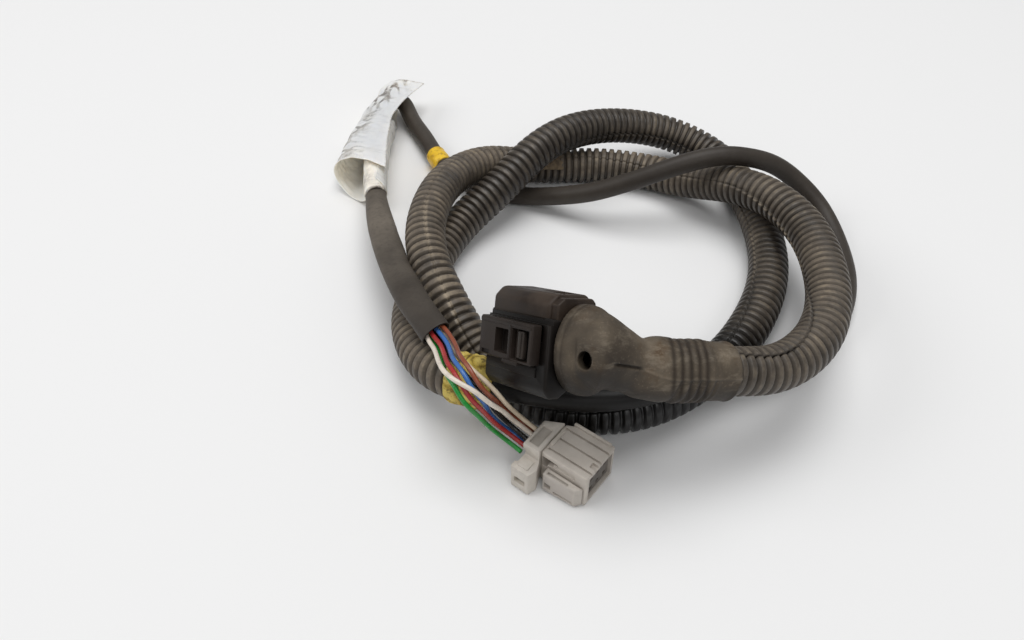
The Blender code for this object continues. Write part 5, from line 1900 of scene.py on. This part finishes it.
@dataclass
class BlackConnector:
    """The black housing with its hood, lock, contacts and seal."""

    base: LocalFrame
    length: float = CONNECTOR_LENGTH
    contact_rows: int = 2
    contact_columns: int = 4
    contact_pitch: float = 3.4
    row_pitch: float = 4.8
    contact_half: float = 0.9

    def build(self) -> list:
        """Builds the connector's pieces from the outside in."""
        return [self.build_housing(), self.build_hood(), self.build_slide(), self.build_tongue(),
                self.build_carrier(), self.build_seal()]

    def build_housing(self) -> bpy.types.Object:
        """Makes the housing: a chamfered block with a collar, a socket, rails and a foot.

        Returns:
            The housing.
        """
        base, end = self.base, -self.length
        outline = ((-8.0, -12.8), (-5.8, -15.5), (-2.0, -15.5), (12.5, -5.5), (12.5, 8.7), (-8.0, 8.7))
        collar = ((0, -10.5), (9.5, -10.5), (11.6, -9.4), (11.6, -5.6), (0, -5.6))
        socket = ((-6.2, -9.5), (7.0, -9.5), (10.4, -5.0), (10.4, 6.9), (-6.2, 6.9))
        foot = ((-7.6, -12.2), (-5.9, -14.3), (-5.3, -14.9), (-6.9, -12.6))
        body = Moulding(prism(base, outline, end, -9.5, 0.9))
        body.join(turned(base, collar, centre=(BOOT_HEAD_SHIFT, 0.0), narrowing=BOOT_HEAD_NARROWING))
        body.cut(prism(base, socket, end - 1.0, end + 17.0, 0.4))
        body.join(block(base, (-8.5, -9.6, -38.8), (-7.6, -6.4, -14.0), 0.25),
                  prism(base, foot, -37.0, -30.0, 0.2))
        body.join(*blocks(base, ((11.9, -3.6, -38.8), (13.1, -1.9, -13.0), 0.3),
                          ((11.9, 4.4, -38.8), (13.1, 6.1, -13.0), 0.3)))
        body.cut(*blocks(base, ((-8.6, 1.4, -17.6), (-7.4, 6.4, -12.4), 0.2),
                         ((-9.0, 6.9, -41.0), (-6.6, 9.2, -9.0), 0.0)))
        # Its base black is darkened as painted shade for the shaded lower body.
        finish = MouldedNylon("housing_plastic_and_shade", Tint.HOUSING_BLACK_AND_SHADE, Tint.HOUSING_DUST, 0.45)
        return ride(body.made("housing_black_and_shade", 0.14), "connector_housing", finish.make(), smooth=False)

    def build_hood(self) -> bpy.types.Object:
        """Makes the hood from a long front block and a lower rear one.

        Returns:
            The hood.
        """
        base, end = self.base, -self.length
        rear = ((-5.2, 7.6), (10.2, 8.2), (10.2, 13.6), (8.8, 15.0), (-2.6, 15.0), (-5.2, 13.0))
        front = ((-6.6, 6.9), (11.0, 8.2), (11.0, 13.8), (9.0, 15.9), (-3.4, 15.9), (-6.6, 12.9))
        hood = Moulding(prism(base, front, end, -12.4, 1.3, 4))
        hood.join(prism(base, rear, -28.6, -9.8, 0.6))
        hood.cut(*blocks(base, ((-2.4, 10.4, end - 1.0), (9.4, 14.4, end + 11.0), 0.4),
                         ((0.4, 15.3, -20.5), (6.6, 17.0, -14.5), 0.2)))
        hood.join(*blocks(base, ((1.6, 15.0, -19.0), (2.6, 15.7, -16.0), 0.2),
                          ((4.4, 15.0, -19.0), (5.4, 15.7, -16.0), 0.2)))
        finish = MouldedNylon("hood_plastic", Tint.HOOD, Tint.HOOD_DUST, 0.9)
        return ride(hood.made("hood", 0.12), "connector_hood", finish.make(), smooth=False)

    def build_slide(self) -> bpy.types.Object:
        """Makes the lock slide with its window, its bay and its ribs.

        Returns:
            The slide.
        """
        base = self.base
        slide = Moulding(block(base, (-12.0, -5.7, -38.4), (-8.35, 6.6, -12.4), 0.5))
        slide.cut(*blocks(base, ((-13.0, -3.9, -30.4), (-8.8, 3.7, -23.9), 0.25),
                          ((-13.0, -5.0, -22.0), (-8.9, 4.6, -13.9), 0.25)))
        slide.join(*blocks(base, ((-12.3, -5.2, -23.6), (-11.2, 5.4, -22.3), 0.25),
                           ((-12.2, 4.9, -38.2), (-11.4, 6.1, -13.0), 0.2),
                           ((-10.6, -5.2, -21.6), (-9.5, 4.8, -20.8), 0.15),
                           ((-12.25, -6.6, -26.0), (-9.0, -5.4, -18.5), 0.25)))
        slide.cut(block(base, (-12.6, -5.2, -37.0), (-11.4, -3.9, -33.0), 0.15))
        finish = MouldedNylon("slide_plastic", Tint.SLIDE, Tint.SLIDE_DUST, 0.8)
        return ride(slide.made("slide", 0.12), "lock_slide", finish.make(), smooth=False)

    def build_tongue(self) -> bpy.types.Object:
        """Makes the lock tongue, a bar with a narrow ridge.

        Returns:
            The tongue.
        """
        base = self.base
        tongue = Moulding(block(base, (-11.9, -4.3, -19.4), (-9.95, 4.0, -16.6), 0.4))
        tongue.join(block(base, (-12.3, -3.9, -18.5), (-11.6, 3.6, -17.4), 0.2))
        finish = MouldedNylon("tongue_plastic", Tint.TONGUE, Tint.TONGUE_DUST, 0.85)
        return ride(tongue.made("tongue", 0.1), "lock_tongue", finish.make(), smooth=False)

    def build_carrier(self) -> bpy.types.Object:
        """Makes the terminal carrier with its rows of holes.

        Returns:
            The carrier.
        """
        base, end, half = self.base, -self.length, self.contact_half
        carrier = Moulding(block(base, (-4.8, -3.8, end + 1.0), (9.0, 5.5, end + 16.6), 0.5))
        for row in range(self.contact_rows):
            for column in range(self.contact_columns):
                x = -3.0 + self.contact_pitch * column
                y = -1.6 + self.row_pitch * row
                carrier.cut(block(base, (x - half, y - half, end), (x + half, y + half, end + 7.0), 0.1))
        finish = HiddenPlastic("carrier_plastic", Tint.CARRIER)
        return ride(carrier.made("carrier", 0.1), "terminal_carrier", finish.make(), smooth=False)

    def build_seal(self) -> bpy.types.Object:
        """Makes the seal, a frame round the terminal carrier.

        Returns:
            The seal.
        """
        base, end = self.base, -self.length
        seal = Moulding(block(base, (-5.8, -4.85, end + 7.5), (10.0, 6.5, end + 10.5), 0.6))
        seal.cut(block(base, (-5.15, -4.15, end + 6.0), (9.35, 5.85, end + 12.0), 0.3))
        finish = HiddenPlastic("seal_silicone", Tint.SEAL, 0.55)
        return ride(seal.made("seal", 0.1), "interface_seal", finish.make(), smooth=False)


@dataclass
class GreyConnector:
    """The grey housing with its rear cover, latch panel and terminal carrier."""

    base: LocalFrame
    rib_places: tuple = (2.7, 8.0, 12.6)
    rib_half: float = 0.45
    contact_rows: int = 2
    contact_columns: int = 3
    contact_pitch: float = 3.9
    row_pitch: float = 5.2
    contact_half: float = 0.8

    def build(self) -> list:
        """Builds the connector's pieces from the outside in."""
        return [self.build_body(), self.build_cover(), self.build_panel(), self.build_carrier()]

    def build_body(self) -> bpy.types.Object:
        """Makes the body: a chamfered block with grooves on top, a socket and a stepped opening.

        Returns:
            The body.
        """
        base = self.base
        outline = ((-18.0, 0.0), (0.0, 0.0), (0.0, 16.5), (-12.6, 16.7), (-18.0, 14.0))
        body = Moulding(prism(base, outline, 0.0, 15.0, 0.7))
        for middle in self.rib_places:
            low, high = middle - self.rib_half, middle + self.rib_half
            body.cut(block(base, (-17.0, low, 13.9), (1.0, high, 16.0), 0.15))
        body.cut(*blocks(base, ((-2.4, 4.6, 13.6), (1.0, 6.8, 16.0), 0.2),
                         ((-10.0, 1.6, 1.6), (1.0, 14.9, 13.3), 0.4)))
        body.join(*blocks(base, ((-15.6, 15.2, 14.4), (-1.2, 16.3, 15.8), 0.3),
                          ((-17.6, 4.2, 14.6), (-16.2, 11.6, 15.5), 0.25)))
        body.cut(*blocks(base, ((-13.4, -0.6, 10.4), (-4.6, 0.5, 12.9), 0.2),
                         ((-3.6, -0.6, 3.2), (-1.2, 0.6, 8.0), 0.15),
                         ((-17.4, -0.6, 8.4), (-15.2, 4.6, 13.3), 0.0),
                         ((-15.3, -0.6, 9.9), (-13.2, 4.6, 13.3), 0.0),
                         ((-13.3, -0.6, 11.4), (-11.4, 4.0, 13.3), 0.0)))
        finish = GreyNylon("grey_nylon", Tint.GREY, Tint.GREY_LIGHT)
        return ride(body.made("grey_body", 0.12), "grey_housing", finish.make(), smooth=False)

    def build_cover(self) -> bpy.types.Object:
        """Makes the rear cover with its side foot and its recesses.

        Returns:
            The cover.
        """
        base = self.base
        outline = ((-24.3, -8.0), (-17.2, -8.0), (-16.2, -4.6), (-18.05, -0.5), (-18.05, 13.8),
                   (-24.3, 10.4))
        cover = Moulding(prism(base, outline, 0.0, 16.0, 0.5))
        cover.cut(*blocks(base, ((-26.0, -9.0, 11.0), (-15.0, -1.2, 18.0), 0.3),
                          ((-23.0, -9.0, 3.4), (-18.6, -6.6, 6.4), 0.2),
                          ((-23.2, 0.4, 14.9), (-19.4, 8.6, 17.0), 0.4),
                          ((-25.4, -5.4, 2.6), (-23.4, 8.4, 12.8), 0.4)))
        cover.join(block(base, (-22.6, -6.6, 10.7), (-18.6, -2.6, 11.5), 0.25))
        finish = GreyNylon("grey_cover_nylon", Tint.GREY_COVER, Tint.GREY_COVER_LIGHT)
        return ride(cover.made("grey_cover", 0.12), "grey_rear_cover", finish.make(), smooth=False)

    def build_panel(self) -> bpy.types.Object:
        """Makes the latch panel with its slots.

        Returns:
            The panel.
        """
        base = self.base
        outline = ((-14.8, -3.4), (-2.5, -2.6), (-0.8, -0.35), (-14.8, -0.35))
        panel = Moulding(prism(base, outline, 0.4, 9.5, 0.45))
        panel.cut(*blocks(base, ((-10.6, -4.4, 1.5), (-3.4, -2.5, 2.6), 0.15),
                          ((-14.2, -4.4, 2.6), (-11.6, -2.4, 5.0), 0.2),
                          ((-13.6, -2.6, 8.6), (-5.6, -1.6, 10.0), 0.15)))
        finish = GreyNylon("grey_panel_nylon", Tint.GREY_PANEL, Tint.GREY_PANEL_LIGHT)
        return ride(panel.made("grey_panel", 0.1), "grey_latch_panel", finish.make(), smooth=False)

    def build_carrier(self) -> bpy.types.Object:
        """Makes the terminal carrier with its rows of holes.

        Returns:
            The carrier.
        """
        base, half = self.base, self.contact_half
        carrier = Moulding(block(base, (-9.6, 2.0, 2.0), (-1.0, 14.5, 12.9), 0.3))
        for row in range(self.contact_rows):
            for column in range(self.contact_columns):
                y = 4.4 + self.contact_pitch * column
                z = 4.6 + self.row_pitch * row
                carrier.cut(block(base, (-6.0, y - half, z - half), (0.0, y + half, z + half), 0.1))
        finish = HiddenPlastic("grey_carrier_nylon", Tint.GREY_CARRIER)
        return ride(carrier.made("grey_carrier", 0.1), "grey_terminal_carrier", finish.make(), smooth=False)


@dataclass
class Harness:
    """The whole harness: its sub-assemblies in order and the pieces they build."""

    conduit: ConduitRun
    sleeve: SleeveRun
    wires: LooseWires
    label: FlagLabel
    boot: ElbowBoot
    black: BlackConnector
    grey: GreyConnector
    pieces: dict = field(default_factory=dict)

    @classmethod
    def laid_out(cls) -> "Harness":
        """Lays out the routes and the connectors' frames.

        Returns:
            The harness, ready to build.
        """
        conduit_route = Route(CONDUIT_ROUTE)
        sleeve_route = Route(SLEEVE_ROUTE)
        black = LocalFrame(BOOT_REAR, np.cross(CONNECTOR_UP, CONNECTOR_AXIS), CONNECTOR_AXIS)
        grey = LocalFrame(GREY_CORNER, GREY_AXIS, (0, 0, 1))
        return cls(ConduitRun(conduit_route), SleeveRun(sleeve_route), LooseWires(sleeve_route),
                   FlagLabel(sleeve_route), ElbowBoot(black), BlackConnector(black), GreyConnector(grey))

    def build(self) -> list:
        """Builds the sub-assemblies in order.

        Returns:
            Every piece.
        """
        for part in (self.conduit, self.sleeve, self.wires, self.label, self.boot, self.black, self.grey):
            self.pieces.update({item.name: item for item in part.build()})
        return list(self.pieces.values())

    def declare(self) -> None:
        """Works out each cord's path in the row frame; the points are not kept."""
        route = self.conduit.route
        route.path_in_row(600)
        route = self.sleeve.route
        route.path_in_row(500)
        for name, route in self.wires.routes.items():
            route.path_in_row(90)


@dataclass
class Studio:
    """A plain pale floor, a soft studio light and the camera of the photograph."""

    floor_half: float = 6.0
    floor_drop: float = 0.00025
    sky_strength: float = 0.31
    target: tuple = (0.0, 0.0, 0.02)
    lamps: tuple = (
        ("overhead", (0.1, 0.3, 2.1), 1.5, 27.5),
        ("left", (-1.5, -0.1, 1.2), 0.9, 7.5),
        ("front", (0.5, -1.4, 1.5), 0.8, 5.5),
    )

    def build(self) -> None:
        """Builds the whole set."""
        bpy.context.scene.view_settings.view_transform = "Standard"
        self.camera()
        self.floor()
        for name, place, size, power in self.lamps:
            self.lamp(name, place, size, power)
        self.world()

    def floor(self) -> None:
        """Lays the floor just under the harness."""
        half = self.floor_half
        mesh = bpy.data.meshes.new("floor")
        corners = [(-half, -half, 0), (half, -half, 0), (half, half, 0), (-half, half, 0)]
        mesh.from_pydata(corners, [], [(0, 1, 2, 3)])
        mesh.materials.append(Finish("floor_paint", Tint.FLOOR, 0.85).done())
        item = linked("floor", mesh)
        item.location = (0, 0, -self.floor_drop)

    def lamp(self, name: str, place: tuple, size: float, power: float) -> None:
        """Hangs one soft lamp that points at the object.

        Args:
            name: Name of the lamp.
            place: Where it hangs, in metres.
            size: Width of its square face.
            power: Watts.
        """
        data = bpy.data.lights.new(name, "AREA")
        data.shape = "SQUARE"
        data.size = size
        data.energy = power
        item = linked(name, data)
        item.location = place
        aim = Vector(self.target) - Vector(place)
        item.rotation_euler = aim.to_track_quat("-Z", "Y").to_euler()

    def world(self) -> None:
        """Lights the scene with an even sky, and shows a pale backdrop to the camera instead."""
        made = bpy.data.worlds.new("studio")
        made.use_nodes = True
        tree = made.node_tree
        tree.nodes.clear()
        sky = add_node(tree, "Background", {"Color": Tint.SKY, "Strength": self.sky_strength})
        backdrop = add_node(tree, "Background", {"Color": Tint.BACKDROP, "Strength": 1.0})
        seen = add_node(tree, "LightPath", out="Is Camera Ray")
        through = add_node(tree, "LightPath", out="Is Transmission Ray")
        direct = add_node(tree, "Math", {0: seen, 1: through}, operation="ADD", use_clamp=True)
        mixed = add_node(tree, "MixShader", {0: direct, 1: sky, 2: backdrop})
        add_node(tree, "OutputWorld", {"Surface": mixed})
        bpy.context.scene.world = made

    def camera(self) -> None:
        """Sets up the camera of the photograph."""
        data = bpy.data.cameras.new("camera")
        data.lens = CAMERA_LENS
        data.sensor_width = SENSOR_WIDTH
        data.clip_start = 0.01
        data.clip_end = 20
        item = linked("camera", data)
        item.location = to_row(CAMERA_PLACE)
        item.rotation_euler = (math.radians(90 - CAMERA_ELEVATION), 0, 0)
        bpy.context.scene.camera = item


def main() -> None:
    logging.basicConfig(level=logging.INFO)
    Studio().build()
    harness = Harness.laid_out()
    for item in harness.build():
        LOG.info("%s: %d faces", item.name, len(item.data.polygons))
    harness.declare()
    LOG.info("label lies flat as %.4f by %.4f m", *harness.label.flat_size)


if __name__ == "__main__":
    main()
